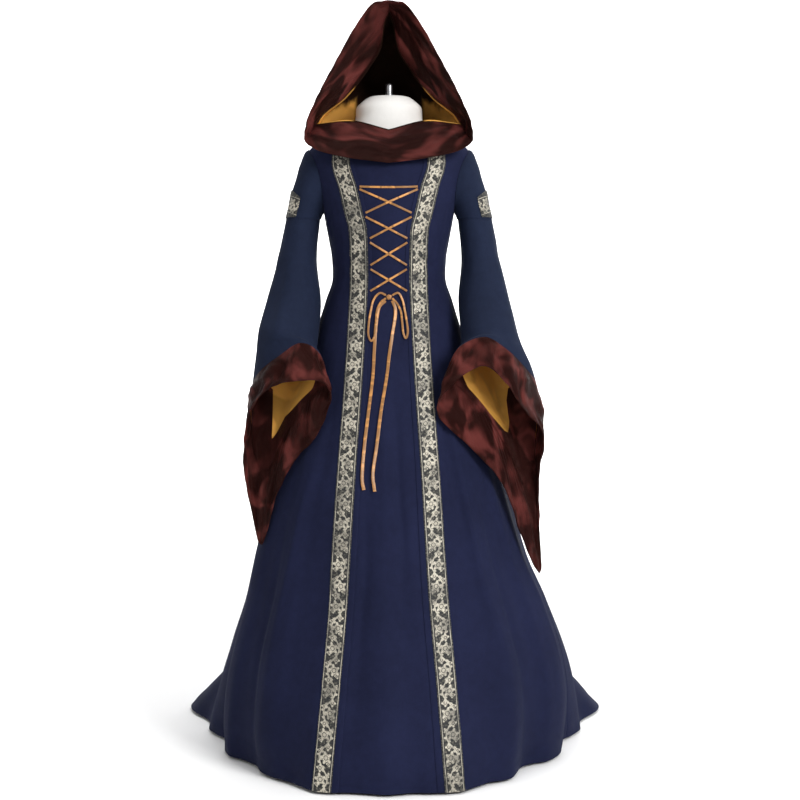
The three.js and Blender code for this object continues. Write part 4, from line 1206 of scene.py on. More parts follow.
def form_knob(material):
    """Turned metal knob on the neck cap: a collar, then a stem with a rounded top."""
    low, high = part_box("form_knob")
    collar = 0.0027
    dome = 0.004
    select_none()
    bpy.ops.mesh.primitive_cylinder_add(
        vertices=48,
        radius=(high[0] - low[0]) / 2,
        depth=collar,
        location=(AXIS_X, AXIS_Y, low[2] + collar / 2),
    )
    piece = bpy.context.active_object
    piece.name = "neck_knob"
    bpy.ops.object.mode_set(mode="EDIT")
    bpy.ops.mesh.select_mode(type="FACE")
    select_parts(piece, "faces", lambda f: f.normal.z > 0.9)
    bpy.ops.mesh.inset(thickness=0.0025)
    rise = high[2] - low[2] - collar
    bpy.ops.mesh.extrude_region_move(TRANSFORM_OT_translate={"value": (0, 0, rise - dome)})
    bpy.ops.mesh.extrude_region_move(TRANSFORM_OT_translate={"value": (0, 0, dome)})
    bpy.ops.transform.resize(value=(0.72, 0.72, 1))
    bpy.ops.object.mode_set(mode="OBJECT")
    edge = piece.modifiers.new("turned edges", "BEVEL")
    edge.width = 0.0008
    edge.segments = 3
    edge.limit_method = "ANGLE"
    bpy.ops.object.modifier_apply(modifier=edge.name)
    bpy.ops.object.transform_apply(location=True, rotation=True, scale=True)
    smooth_by_angle(piece, SOFT_METAL)
    return dress(piece, material, "stand_metal", "form_knob")


def bow_knot(material):
    """The knot of the bow: a small pad with the turns of the lace pulled round it."""
    low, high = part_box("bow_knot")
    centre = (Vector(low) + Vector(high)) / 2
    select_none()
    bpy.ops.mesh.primitive_uv_sphere_add(segments=40, ring_count=24, radius=1, location=(0, 0, 0))
    piece = bpy.context.active_object
    piece.name = "bow_knot_pad"
    half = (Vector(high) - Vector(low)) / 2
    for v in piece.data.vertices:
        turn = 1 + 0.1 * math.sin(6.5 * v.co.x + 3.2 * v.co.z) - 0.12 * math.exp(-((v.co.z / 0.2) ** 2))
        v.co = Vector((v.co.x * half.x * turn, v.co.y * half.y * turn, v.co.z * half.z * turn))
        v.co = v.co + centre
    smooth_by_angle(piece, SOFT_CORD)
    return dress(piece, material, "lace_cord", "bow_knot")


# Materials


class Value:
    """A number or colour in a shader tree; sums and products of values become math nodes."""

    def __init__(self, nodes, socket):
        self.nodes = nodes
        self.socket = socket

    def __add__(self, other):
        return self.nodes.math("ADD", self, other)

    def __sub__(self, other):
        return self.nodes.math("SUBTRACT", self, other)

    def __rsub__(self, other):
        return self.nodes.math("SUBTRACT", other, self)

    def __mul__(self, other):
        return self.nodes.math("MULTIPLY", self, other)

    __rmul__ = __mul__

    def __truediv__(self, other):
        return self.nodes.math("DIVIDE", self, other)

    def __rtruediv__(self, other):
        return self.nodes.math("DIVIDE", other, self)

    def __abs__(self):
        return self.nodes.math("ABSOLUTE", self)

    def sine(self):
        return self.nodes.math("SINE", self)

    def cosine(self):
        return self.nodes.math("COSINE", self)

    def clamped(self):
        return self.nodes.math("ADD", self, 0.0, clamp=True)

    def or_more(self, other):
        return self.nodes.math("MAXIMUM", self, other)

    def ramp(self, low, high):
        """Soft step from 0 to 1 between two values."""
        node = self.nodes.tree.nodes.new("ShaderNodeMapRange")
        node.interpolation_type = "SMOOTHSTEP"
        return self.nodes.fill(node, {"Value": self, "From Min": low, "From Max": high})


class Nodes:
    """Adds nodes to a shader tree and joins them."""

    def __init__(self, tree):
        self.tree = tree

    def put(self, value, socket):
        if isinstance(value, Value):
            self.tree.links.new(value.socket, socket)
        else:
            socket.default_value = value

    def fill(self, node, values):
        """Sets a node's inputs by name or number; returns its first output."""
        for name, value in values.items():
            self.put(value, node.inputs[name])
        return Value(self, node.outputs[0])

    def math(self, operation, a, b=0.0, clamp=False):
        node = self.tree.nodes.new("ShaderNodeMath")
        node.operation = operation
        node.use_clamp = clamp
        return self.fill(node, {0: a, 1: b})

    def vector_math(self, operation, a, b):
        node = self.tree.nodes.new("ShaderNodeVectorMath")
        node.operation = operation
        return self.fill(node, {0: a, 1: b})

    def joined(self, x, y, z):
        return self.fill(self.tree.nodes.new("ShaderNodeCombineXYZ"), {0: x, 1: y, 2: z})

    def split(self, vector):
        node = self.tree.nodes.new("ShaderNodeSeparateXYZ")
        self.put(vector, node.inputs[0])
        return [Value(self, socket) for socket in node.outputs]

    def coordinates(self, which):
        return Value(self, self.tree.nodes.new("ShaderNodeTexCoord").outputs[which])

    def noise(self, vector, scale, detail, rough, distortion=0.0):
        values = {"Vector": vector, "Scale": scale, "Detail": detail, "Roughness": rough}
        node = self.tree.nodes.new("ShaderNodeTexNoise")
        self.fill(node, values | {"Distortion": distortion})
        return Value(self, node.outputs["Fac"])

    def cells(self, vector, scale):
        node = self.tree.nodes.new("ShaderNodeTexVoronoi")
        node.feature = "SMOOTH_F1"
        self.fill(node, {"Vector": vector, "Scale": scale, "Smoothness": 0.35})
        return Value(self, node.outputs["Distance"])

    def colour(self, share, a, b):
        """Mix of two colours by a share from 0 to 1."""
        node = self.tree.nodes.new("ShaderNodeMix")
        node.data_type = "RGBA"
        self.put(share, node.inputs["Factor"])
        for socket in node.inputs:
            if socket.type == "RGBA":
                self.put(a if socket.name == "A" else b, socket)
        return Value(self, [o for o in node.outputs if o.type == "RGBA"][0])

    def finish(self, colour, roughness, height):
        """Joins a surface's three results to the group's outputs."""
        leave = self.tree.nodes.new("NodeGroupOutput")
        results = {"Colour": colour, "Roughness": roughness, "Height": height}
        for name, value in results.items():
            self.put(value, leave.inputs[name])
        return self.tree


COLOUR = "NodeSocketColor"
NUMBER = "NodeSocketFloat"
SURFACE = [("Colour", COLOUR), ("Roughness", NUMBER), ("Height", NUMBER)]
# Spacing of threads in metres
SATIN_THREAD = 0.0009
RIBBON_THREAD = 0.0012


def new_group(name, inputs):
    """Shader group with named inputs and a surface's outputs: its helper and its input values."""
    tree = bpy.data.node_groups.new(name, "ShaderNodeTree")
    for socket, kind, default in inputs:
        made = tree.interface.new_socket(socket, in_out="INPUT", socket_type=kind)
        made.default_value = default
    for socket, kind in SURFACE:
        tree.interface.new_socket(socket, in_out="OUTPUT", socket_type=kind)
    nodes = Nodes(tree)
    enter = tree.nodes.new("NodeGroupInput")
    return nodes, {socket: Value(nodes, enter.outputs[socket]) for socket, _, _ in inputs}


def woven_cloth_group():
    """Plain weave with an uneven nap, read from the cloth's own flat coordinates."""
    inputs = [
        ("Colour", COLOUR, (0.02, 0.03, 0.07, 1)),
        ("Nap Colour", COLOUR, (0.03, 0.04, 0.1, 1)),
        ("Thread Size", NUMBER, 0.0011),
        ("Patch Scale", NUMBER, 7.0),
        ("Roughness", NUMBER, 0.85),
    ]
    nodes, given = new_group("woven_cloth", inputs)
    across, along, _ = nodes.split(nodes.coordinates("UV"))
    place_on = nodes.coordinates("Object")
    turns = 2 * math.pi / given["Thread Size"]
    weave = (across * turns).sine() * (along * turns).sine() * 0.5 + 0.5
    patches = nodes.noise(place_on, given["Patch Scale"], 4.0, 0.6)
    fuzz = nodes.noise(place_on, 420.0, 2.0, 0.7)
    slub = nodes.noise(place_on, 65.0, 3.0, 0.6, 0.4)
    share = (patches * 0.55 + fuzz * 0.3 + slub * 0.25).ramp(0.3, 0.85)
    colour = nodes.colour(share, given["Colour"], given["Nap Colour"])
    rough = (fuzz - 0.5) * 0.16 + given["Roughness"]
    return nodes.finish(colour, rough, weave * 0.35 + slub * 0.5 + fuzz * 0.3)


def folds_lit_from_a_side(nodes, vector, scale, step, creased):
    """A height field of soft folds, and how much its slope faces one side (0.5 is level), which sets
    the light and shade painted on them.
    """
    fields = []
    for at in (vector, nodes.vector_math("ADD", vector, step)):
        soft = nodes.noise(at, scale, 2.0, 0.42, 0.7)
        facets = nodes.cells(at, scale * 0.8) - soft
        fields.append(facets * creased + soft)
    return fields[0], (fields[0] - fields[1]) * 3.4 + 0.5


def crushed_satin_group():
    """Satin with long soft folds along the cloth, or crumpled into small ones in all directions, with
    painted light and shade on the folds and a painted highlight on their crests.
    """
    inputs = [
        # The satin's colour in painted shade, then in painted light
        ("Colour", COLOUR, (0.05, 0.01, 0.01, 1)),
        ("Light Colour", COLOUR, (0.1, 0.03, 0.025, 1)),
        ("Fold Length", NUMBER, 0.1),
        ("Fold Width", NUMBER, 0.03),
        ("Crumpled", NUMBER, 0.0),
        ("Roughness", NUMBER, 0.36),
    ]
    nodes, given = new_group("crushed_satin", inputs)
    place_on = nodes.coordinates("Object")
    x, y, z = nodes.split(place_on)
    across, along, _ = nodes.split(nodes.coordinates("UV"))
    length = given["Fold Length"]
    width = given["Fold Width"]
    crumpled = given["Crumpled"]
    drawn_out = 1.0 - crumpled
    pulled = nodes.joined(
        across / length * drawn_out + x / width * crumpled,
        along / width * drawn_out + y / width * crumpled,
        z / length * crumpled,
    )
    creased = crumpled * 0.5
    folds, painted_light_share = folds_lit_from_a_side(nodes, pulled, 1.0, (0.11, 0.2, 0.14), creased)
    # Painted highlight along the crests of the long folds
    painted_crest_highlight = (1.0 - abs(folds - 0.5) * 16.0).clamped() * painted_light_share * (drawn_out * 0.22)
    patches = nodes.noise(place_on, 9.0, 1.0, 0.5)
    # Painted light on slopes facing one side, in random patches and on the crests; painted shade
    # elsewhere
    share = (painted_light_share.ramp(0.36, 1.0) * patches.ramp(0.1, 0.68) + painted_crest_highlight).clamped()
    colour = nodes.colour(share, given["Colour"], given["Light Colour"])
    rough = (patches - 0.5) * 0.2 + given["Roughness"]
    thread = (across * (2 * math.pi / SATIN_THREAD)).sine()
    return nodes.finish(colour, rough, thread * 0.006 + folds)


def soft_lining_group():
    """Lining with broad soft folds, their light and shade painted on, and with painted shade in the
    depth of a hood that leaves it ochre beside the neck.
    """
    inputs = [
        # The ochre in painted shade and in painted light, then the colour of the painted shade in the
        # hood's depth
        ("Colour", COLOUR, (0.3, 0.15, 0.03, 1)),
        ("Light Colour", COLOUR, (0.5, 0.25, 0.06, 1)),
        ("Deep Colour", COLOUR, (0.01, 0.006, 0.004, 1)),
        ("Fold Scale", NUMBER, 9.0),
        ("Centre X", NUMBER, 0.0),
        ("Neck Half Width", NUMBER, 0.08),
        ("Outer Half Width", NUMBER, 0.157),
        ("Dark Above", NUMBER, 99.0),
        ("Roughness", NUMBER, 0.45),
    ]
    nodes, given = new_group("soft_lining", inputs)
    place_on = nodes.coordinates("Object")
    scale = given["Fold Scale"]
    folds, painted_light_share = folds_lit_from_a_side(nodes, place_on, scale, (0.014, 0.0, 0.014), 0.0)
    patches = nodes.noise(place_on, scale * 0.4, 1.0, 0.5)
    # Painted light on slopes facing one side, in random patches; painted shade elsewhere
    share = painted_light_share.ramp(0.35, 0.85) * patches.ramp(0.25, 0.65)
    cloth = nodes.colour(share, given["Colour"], given["Light Colour"])
    # Painted shade in the hood's depth: above a line that is highest at the middle, over the neck's
    # middle and beyond the hood's sides, and only at the hood's height
    x, _, z = nodes.split(place_on)
    aside = abs(x - given["Centre X"])
    uneven = (nodes.noise(place_on, 40.0, 2.0, 0.5) - 0.5) * 0.03
    above = (aside * 0.55 + z + uneven - given["Dark Above"]).ramp(-0.008, 0.012)
    hooded = (z - (given["Dark Above"] - 0.3)).ramp(0.0, 0.01)
    near = (given["Neck Half Width"] - aside).ramp(-0.006, 0.006)
    far = (aside - given["Outer Half Width"]).ramp(-0.005, 0.008)
    deep = above.or_more(near.or_more(far)) * hooded
    colour = nodes.colour(deep, cloth, given["Deep Colour"])
    return nodes.finish(colour, deep * 0.3 + given["Roughness"], folds)


def floral_ribbon_group():
    """Woven ribbon of five-petalled flowers, leaves and a winding stem between plain edges."""
    inputs = [
        ("Ground", COLOUR, (0.02, 0.02, 0.02, 1)),
        ("Figure", COLOUR, (0.5, 0.46, 0.36, 1)),
        ("Shade", COLOUR, (0.1, 0.1, 0.09, 1)),
        ("Repeat", NUMBER, 0.044),
        ("Half Width", NUMBER, 0.02),
    ]
    nodes, given = new_group("floral_ribbon", inputs)
    place_on = nodes.coordinates("Object")
    across, along, _ = nodes.split(nodes.coordinates("UV"))
    u = across * 1000.0
    v = along * 1000.0
    repeat = given["Repeat"] * 1000.0

    def flower(shift, off_middle, petals, size):
        """One flower in each repeat, by turns on either side of the ribbon's middle."""
        place_in = (v + shift) / repeat
        cell = nodes.math("FLOOR", place_in)
        side = nodes.math("FLOORED_MODULO", cell, 2.0) * 2.0 - 1.0
        x = u - side * off_middle
        y = (place_in - cell - 0.5) * repeat
        radius = nodes.math("SQRT", x * x + y * y)
        turn = nodes.math("ARCTAN2", y, x)
        edge = (turn * petals).cosine() * (size * 0.26) + size
        whole = (edge - radius).ramp(-0.5, 0.5)
        hollow = abs(radius - size * 0.42).ramp(0.3, 1.0)
        vein = (turn * (petals * 2)).cosine() * 0.25 + 0.75
        return whole * hollow * vein

    big = flower(0.0, 4.0, 5.0, 10.2)
    small = flower(repeat * 0.5, 6.5, 4.0, 6.6)
    tiny = flower(repeat * 0.25, -11.0, 3.0, 4.4)
    tiny_too = flower(repeat * 0.75, -11.0, 3.0, 4.4)
    stem_at = (v * math.pi / repeat).sine() * 10.5
    stem = abs(u - stem_at).ramp(2.0, 0.9)
    leaf_row = (v * (6 * math.pi) / repeat).sine()
    leaf = abs(u - (stem_at + leaf_row * 3.6)).ramp(2.9, 1.6) * abs(leaf_row).ramp(0.25, 0.75)
    from_edge = given["Half Width"] * 1000.0 - abs(u)
    border = abs(from_edge - 1.9).ramp(0.8, 0.3)
    flowers = big.or_more(small).or_more(tiny).or_more(tiny_too)
    figure = flowers.or_more(stem.or_more(leaf) * 0.8) * from_edge.ramp(2.8, 3.6)
    figure = figure.or_more(border)
    speck = nodes.noise(place_on, 260.0, 3.0, 0.6)
    # Painted shade of puckers dims the figure in soft patches; the specks are the threads' own uneven
    # tone
    pucker = nodes.noise(place_on, 32.0, 2.0, 0.5).ramp(0.34, 0.6)
    specked_and_pucker_shaded = (figure * (speck * 0.7 + 0.55) * (pucker * 0.6 + 0.4)).clamped()
    ground = nodes.colour(speck.ramp(0.45, 0.75), given["Ground"], given["Shade"])
    colour = nodes.colour(specked_and_pucker_shaded, ground, given["Figure"])
    thread = (along * (2 * math.pi / RIBBON_THREAD)).sine()
    return nodes.finish(colour, figure * -0.25 + 0.75, thread * 0.06 + figure * 0.8)


def turned_metal_group():
    """Metal with fine lines round it from the lathe and a few worn patches."""
    inputs = [
        ("Colour", COLOUR, (0.2, 0.2, 0.2, 1)),
        ("Worn Colour", COLOUR, (0.35, 0.35, 0.36, 1)),
        ("Roughness", NUMBER, 0.32),
    ]
    nodes, given = new_group("turned_metal", inputs)
    place_on = nodes.coordinates("Object")
    lines = nodes.noise(nodes.vector_math("MULTIPLY", place_on, (20, 20, 900)), 1.0, 2.0, 0.5)
    patches = nodes.noise(place_on, 30.0, 3.0, 0.6)
    share = (lines * 0.6 + patches * 0.4).ramp(0.35, 0.7)
    colour = nodes.colour(share, given["Colour"], given["Worn Colour"])
    return nodes.finish(colour, (patches - 0.5) * 0.2 + given["Roughness"], lines)


GROUPS = {
    "woven_cloth": woven_cloth_group,
    "crushed_satin": crushed_satin_group,
    "soft_lining": soft_lining_group,
    "floral_ribbon": floral_ribbon_group,
    "turned_metal": turned_metal_group,
}


# Height in metres above which shade is painted on the hood's lining, and one that no lining reaches
HOOD_PAINTED_SHADE_ABOVE = 1.535
NEVER_PAINTED_SHADE = 99.0


def shade(colour, factor):
    return tuple(c * factor for c in colour[:3]) + (1,)


def make_material(name, group, values, constants, bump, bump_depth):
    """Material with one surface group feeding its shader; constants stay on the shader."""
    material = bpy.data.materials.new(name)
    material.use_nodes = True
    tree = material.node_tree
    shader = tree.nodes["Principled BSDF"]
    surface = tree.nodes.new("ShaderNodeGroup")
    surface.node_tree = bpy.data.node_groups.get(group) or GROUPS[group]()
    for socket, value in values.items():
        surface.inputs[socket].default_value = value
    for socket, value in constants.items():
        shader.inputs[socket].default_value = value
    relief = tree.nodes.new("ShaderNodeBump")
    relief.inputs["Strength"].default_value = bump
    relief.inputs["Distance"].default_value = bump_depth
    tree.links.new(surface.outputs["Colour"], shader.inputs["Base Color"])
    tree.links.new(surface.outputs["Roughness"], shader.inputs["Roughness"])
    tree.links.new(surface.outputs["Height"], relief.inputs["Height"])
    tree.links.new(relief.outputs["Normal"], shader.inputs["Normal"])
    material.diffuse_color = values.get("Colour", values.get("Figure", (0.5, 0.5, 0.5, 1)))
    return material


def woven_look(base, dark, light, thread, patches, roughness):
    return {
        "Colour": shade(base, dark),
        "Nap Colour": shade(base, light),
        "Thread Size": thread,
        "Patch Scale": patches,
        "Roughness": roughness,
    }


def satin_look(base, dark, light, fold_length, fold_width, crumpled):
    # dark and light scale the colour to its painted shade and its painted light
    return {
        "Colour": shade(base, dark),
        "Light Colour": shade(base, light),
        "Fold Length": fold_length,
        "Fold Width": fold_width,
        "Crumpled": crumpled,
        "Roughness": 0.42,
    }


def lining_look(base, deep, dark_above):
    # The ochre in painted shade and painted light on the folds, and the maroon darkened into the
    # painted shade of the hood's depth
    return {
        "Colour": shade(base, 1.4),
        "Light Colour": shade(base, 2.3),
        "Deep Colour": shade(deep, 0.4),
        "Fold Scale": 9.0,
        "Centre X": AXIS_X,
        "Dark Above": dark_above,
        "Roughness": 0.45,
    }


def looks():
    """By material: its group, the group's values, shader constants, bump strength and distance."""
    c = bpy.context.scene.gown_colours
    navy = {
        "Sheen Weight": 0.02,
        "Sheen Roughness": 0.4,
        "Sheen Tint": (0.5, 0.6, 0.95, 1),
        "Specular IOR Level": 0.08,
    }
    satin = {"Specular IOR Level": 0.1, "Specular Tint": (1.0, 0.6, 0.5, 1)}
    lining = {"Specular IOR Level": 0.16, "Specular Tint": (1.0, 0.8, 0.5, 1)}
    skirt = woven_look(c.skirt, 0.78, 1.3, 0.0011, 6.0, 0.86)
    sleeve = woven_look(c.sleeve, 0.78, 1.3, 0.0011, 6.0, 0.86)
    jersey = woven_look(c.form, 0.94, 1.05, 0.0014, 14.0, 0.7)
    # Satin and lace: their colour in painted shade and in painted light, as shares of their own
    band = satin_look(c.satin, 0.5, 4.8, 0.13, 0.05, 0.0)
    cuff = satin_look(c.satin, 0.75, 6.0, 0.06, 0.045, 1.0)
    lace = satin_look(c.lace, 0.7, 1.6, 0.03, 0.02, 0.0)
    ribbon = {
        "Ground": tuple(c.ribbon_ground) + (1,),
        "Figure": tuple(c.ribbon_figure) + (1,),
        "Shade": shade(c.ribbon_figure, 0.22),
        "Repeat": 0.044,
        "Half Width": ribbon_half() / 1000,
    }
    metal = {"Colour": shade(c.metal, 0.8), "Worn Colour": shade(c.metal, 1.4), "Roughness": 0.34}
    in_sleeve = lining_look(c.lining, c.satin, NEVER_PAINTED_SHADE)
    in_hood = lining_look(c.lining, c.satin, HOOD_PAINTED_SHADE_ABOVE)
    woven = {"Sheen Weight": 0.1, "Specular IOR Level": 0.35}
    bright = {"Sheen Weight": 0.1, "Specular IOR Level": 0.5}
    return {
        "navy cloth": ("woven_cloth", skirt, navy, 0.35, 0.0005),
        "navy sleeve": ("woven_cloth", sleeve, navy, 0.35, 0.0005),
        "form jersey": ("woven_cloth", jersey, {"Specular IOR Level": 0.3}, 0.25, 0.0004),
        "maroon satin": ("crushed_satin", band, satin, 0.9, 0.025),
        "maroon cuff satin": ("crushed_satin", cuff, satin, 0.9, 0.025),
        "gold lace": ("crushed_satin", lace, bright, 0.4, 0.0008),
        "ochre lining": ("soft_lining", in_sleeve, lining, 0.5, 0.01),
        "ochre hood lining": ("soft_lining", in_hood, lining, 0.5, 0.01),
        "floral ribbon": ("floral_ribbon", ribbon, woven, 0.5, 0.0005),
        "grey metal": ("turned_metal", metal, {"Metallic": 1.0}, 0.15, 0.0003),
    }


def material_for(name):
    """The material of that name, made the first time that it is asked for."""
    return bpy.data.materials.get(name) or make_material(name, *looks()[name])


SIDES = [("left", -1), ("right", 1)]


def sleeve_shell(kind, side_name, side, ts, out, wall, crumpled, material, slot, rests_on):
    """One layer of a lower sleeve, closed round the arm."""
    name = f"{kind}_{side_name}"
    outer, plain = on_sleeve(side_name, ts, out, crumpled)
    inner, _ = on_sleeve(side_name, ts, out - wall, crumpled)
    piece = shell(name + "_cloth", across_x(outer, side), across_x(inner, side), True)
    declare_sheet(piece, plain, True)
    return dress(piece, material_for(material), slot, name)


def hood_shell(name, phi, ts, outs, crumpled, closed, held, rests_on, material, slot):
    """One layer of the hood between two distances from its plain form."""
    outer, plain = on_hood(phi, ts, outs[0], crumpled)
    inner, _ = on_hood(phi, ts, outs[1], crumpled)
    piece = shell(name + "_cloth", outer, inner, closed)
    declare_sheet(piece, plain, closed)
    return dress(piece, material_for(material), slot, name)


# Settings


def number_property(name, description, default, low, high, **kind):
    return FloatProperty(
        name=name, description=description, default=default, min=low, max=high, **kind
    )


def length_property(name, description, default, low, high):
    shown = {"subtype": "DISTANCE", "unit": "LENGTH"}
    return number_property(name, description, default, low, high, **shown)


class GownSizes(bpy.types.PropertyGroup):
    cloth_thickness: length_property(
        "Cloth thickness", "Thickness of the navy cloth", 0.0014, 0.0005, 0.003
    )
    seam_dip: length_property(
        "Seam dip", "How far the cloth draws in along a seam", 0.0009, 0, 0.003
    )
    crease_depth: number_property(
        "Crease depth", "Depth of all soft creases, as a share of the usual one", 1.0, 0, 2
    )
    ribbon_width: length_property(
        "Ribbon width", "Width of the floral ribbon on the front and the arms", 0.04, 0.02, 0.06
    )
    lace_width: length_property("Lace width", "Width of the lacing", 0.0046, 0.002, 0.01)
    tail_width: length_property(
        "Tail width", "Width of the lace's hanging ends", 0.007, 0.003, 0.012
    )


def colour_property(name, description, default):
    return FloatVectorProperty(
        name=name,
        description=description,
        default=default,
        subtype="COLOR",
        size=3,
        min=0,
        max=1,
    )


class GownColours(bpy.types.PropertyGroup):
    skirt: colour_property("Navy", "Cloth of bodice, skirt and hood", (0.0092, 0.0115, 0.034))
    sleeve: colour_property("Sleeve navy", "Cloth of the sleeves", (0.0095, 0.014, 0.032))
    satin: colour_property("Maroon", "Satin bands", (0.022, 0.0052, 0.0046))
    lining: colour_property("Ochre", "Lining of sleeves and hood", (0.36, 0.18, 0.038))
    lace: colour_property("Gold", "Lacing", (0.36, 0.16, 0.04))
    ribbon_ground: colour_property("Ribbon ground", "Ground of the ribbon", (0.012, 0.013, 0.014))
    ribbon_figure: colour_property("Ribbon figure", "Flowers of the ribbon", (0.62, 0.57, 0.46))
    form: colour_property("Form", "Cover of the dress form", (0.68, 0.665, 0.64))
    metal: colour_property("Metal", "Knob and stand", (0.2, 0.2, 0.205))


class GownStage(bpy.types.PropertyGroup):
    lens: number_property("Lens", "Focal length of the camera in millimetres", 67.1, 20, 200)
    distance: length_property("Camera distance", "From the gown's axis to the camera", 3.4, 1, 20)
    floor_tone: number_property(
        "Floor tone", "Lightness of floor and backdrop", 0.92, 0, 1, subtype="FACTOR"
    )
    light: number_property(
        "Light", "Strength of the studio lights as a share of the usual one", 1.0, 0, 4
    )


# Camera and paper: size of the sensor in mm, share of the picture by which the view shifts,
# camera's place beside the axis and above the floor, and the backdrop's distance, in metres
SENSOR = 36
VIEW_SHIFT = -45 / 800
CAMERA_ASIDE = 0.025
CAMERA_HEIGHT = 0.889
PAPER_SIZE = 14
PAPER_EDGE = 6.9
PAPER_RISE = 8
PAPER_BEND = 3.0


def at_rear(edge):
    return all(v.co.y > PAPER_EDGE for v in edge.verts)


def on_floor(edge):
    return all(v.co.z < 0.1 for v in edge.verts)


# Operators


class GOWN_OT_stage(bpy.types.Operator):
    """Pale floor and backdrop, soft studio lights and the camera"""

    bl_idname = "gown.stage"
    bl_label = "Stage"

    def execute(self, context):
        settings = context.scene.gown_stage
        lens = bpy.data.cameras.new("camera")
        lens.sensor_width = SENSOR
        lens.lens = settings.lens
        lens.shift_y = VIEW_SHIFT
        lens.clip_end = 60
        camera = bpy.data.objects.new("camera", lens)
        camera.location = (AXIS_X + CAMERA_ASIDE, AXIS_Y - settings.distance, CAMERA_HEIGHT)
        camera.rotation_euler = (math.radians(90), 0, 0)
        context.scene.collection.objects.link(camera)
        context.scene.camera = camera
        self.floor(settings)
        lights = [
            ("key", (2.9, -3.9, 2.9), (0, 0, 0.9), 2.2, 250),
            ("fill", (-2.6, -4.3, 2.6), (0, 0, 1.2), 2.6, 32),
            ("top", (0.2, 0.3, 4.6), (0, 0.3, 0), 3.4, 120),
            ("left rim", (-3.2, 1.8, 2.2), (0, 0, 0.9), 1.8, 10),
            ("right rim", (3.2, 1.8, 2.2), (0, 0, 0.9), 1.8, 18),
            ("backdrop left", (-3.0, 3.2, 2.6), (-1.5, 7, 2.0), 2.5, 330),
            ("backdrop right", (3.0, 3.2, 2.6), (1.5, 7, 2.0), 2.5, 330),
        ]
        for name, spot, target, size, power in lights:
            lamp = bpy.data.lights.new(name, "AREA")
            lamp.shape = "DISK"
            lamp.size = size
            lamp.energy = power * settings.light
            light = bpy.data.objects.new(name, lamp)
            light.location = spot
            aim = Vector(target) - Vector(spot)
            light.rotation_euler = aim.to_track_quat("-Z", "Y").to_euler()
            context.scene.collection.objects.link(light)
        world = bpy.data.worlds.new("studio")
        world.use_nodes = True
        sky = world.node_tree.nodes["Background"]
        sky.inputs["Color"].default_value = (1, 1, 1, 1)
        sky.inputs["Strength"].default_value = 0.3
        context.scene.world = world
        context.scene.view_settings.view_transform = "Standard"
        return {"FINISHED"}

    def floor(self, settings):
        select_none()
        bpy.ops.mesh.primitive_plane_add(size=PAPER_SIZE, location=(0, 0, 0))
        floor = bpy.context.active_object
        floor.name = "floor_and_backdrop"
        bpy.ops.object.mode_set(mode="EDIT")
        bpy.ops.mesh.select_mode(type="EDGE")
        select_parts(floor, "edges", at_rear)
        lift = {"value": (0, 0, PAPER_RISE)}
        bpy.ops.mesh.extrude_region_move(TRANSFORM_OT_translate=lift)
        select_parts(floor, "edges", lambda edge: at_rear(edge) and on_floor(edge))
        bpy.ops.mesh.bevel(offset=PAPER_BEND, segments=18, affect="EDGES")
        bpy.ops.object.mode_set(mode="OBJECT")
        smooth_by_angle(floor, SOFT_FLOOR)
        material = bpy.data.materials.new("studio paper")
        material.use_nodes = True
        shader = material.node_tree.nodes["Principled BSDF"]
        tone = settings.floor_tone
        shader.inputs["Base Color"].default_value = (tone, tone, tone, 1)
        shader.inputs["Roughness"].default_value = 0.9
        shader.inputs["Specular IOR Level"].default_value = 0.1
        floor.data.materials.append(material)


class GOWN_OT_dress_form(bpy.types.Operator):
    """Limbless dress form with its neck cap, covered in white jersey"""

    bl_idname = "gown.dress_form"
    bl_label = "Dress form"

    def execute(self, context):
        form_body(material_for("form jersey"))
        return {"FINISHED"}


class GOWN_OT_stand(bpy.types.Operator):
    """Knob on the neck cap, pole and round base"""

    bl_idname = "gown.stand"
    bl_label = "Knob and stand"

    def execute(self, context):
        metal = material_for("grey metal")
        form_knob(metal)
        for node in ("stand_pole", "stand_base"):
            piece = frame["nodes"][node]
            if not piece.material_slots:
                piece.data.materials.append(metal)
            for place_for in piece.material_slots:
                place_for.material = metal
        return {"FINISHED"}


class GOWN_OT_centre_front(bpy.types.Operator):
    """Inset panel behind the lacing, from the neck to the hem"""

    bl_idname = "gown.centre_front"
    bl_label = "Centre front"

    def execute(self, context):
        cloth = material_for("navy cloth")
        body_panel("centre_front_panel", "centre_front", 1, 54, -SET_BACK, cloth)
        return {"FINISHED"}


class GOWN_OT_side_fronts(bpy.types.Operator):
    """Side front panels with the armholes cut out"""

    bl_idname = "gown.side_fronts"
    bl_label = "Side fronts"

    def execute(self, context):
        for name, side in SIDES:
            cloth = material_for("navy cloth")
            piece = body_panel(f"side_front_{name}", "side_front", side, 64, 0, cloth)
            cut_armhole(piece, side)
        return {"FINISHED"}


class GOWN_OT_side_backs(bpy.types.Operator):
    """Side back panels with the armholes cut out"""

    bl_idname = "gown.side_backs"
    bl_label = "Side backs"

    def execute(self, context):
        for name, side in SIDES:
            cloth = material_for("navy cloth")
            piece = body_panel(f"side_back_{name}", "side_back", side, 52, 0, cloth)
            cut_armhole(piece, side)
        return {"FINISHED"}


class GOWN_OT_backs(bpy.types.Operator):
    """Centre back panels that run out into the train"""

    bl_idname = "gown.backs"
    bl_label = "Backs"

    def execute(self, context):
        for name, side in SIDES:
            body_panel(f"back_{name}", "back", side, 56, 0, material_for("navy cloth"))
        return {"FINISHED"}


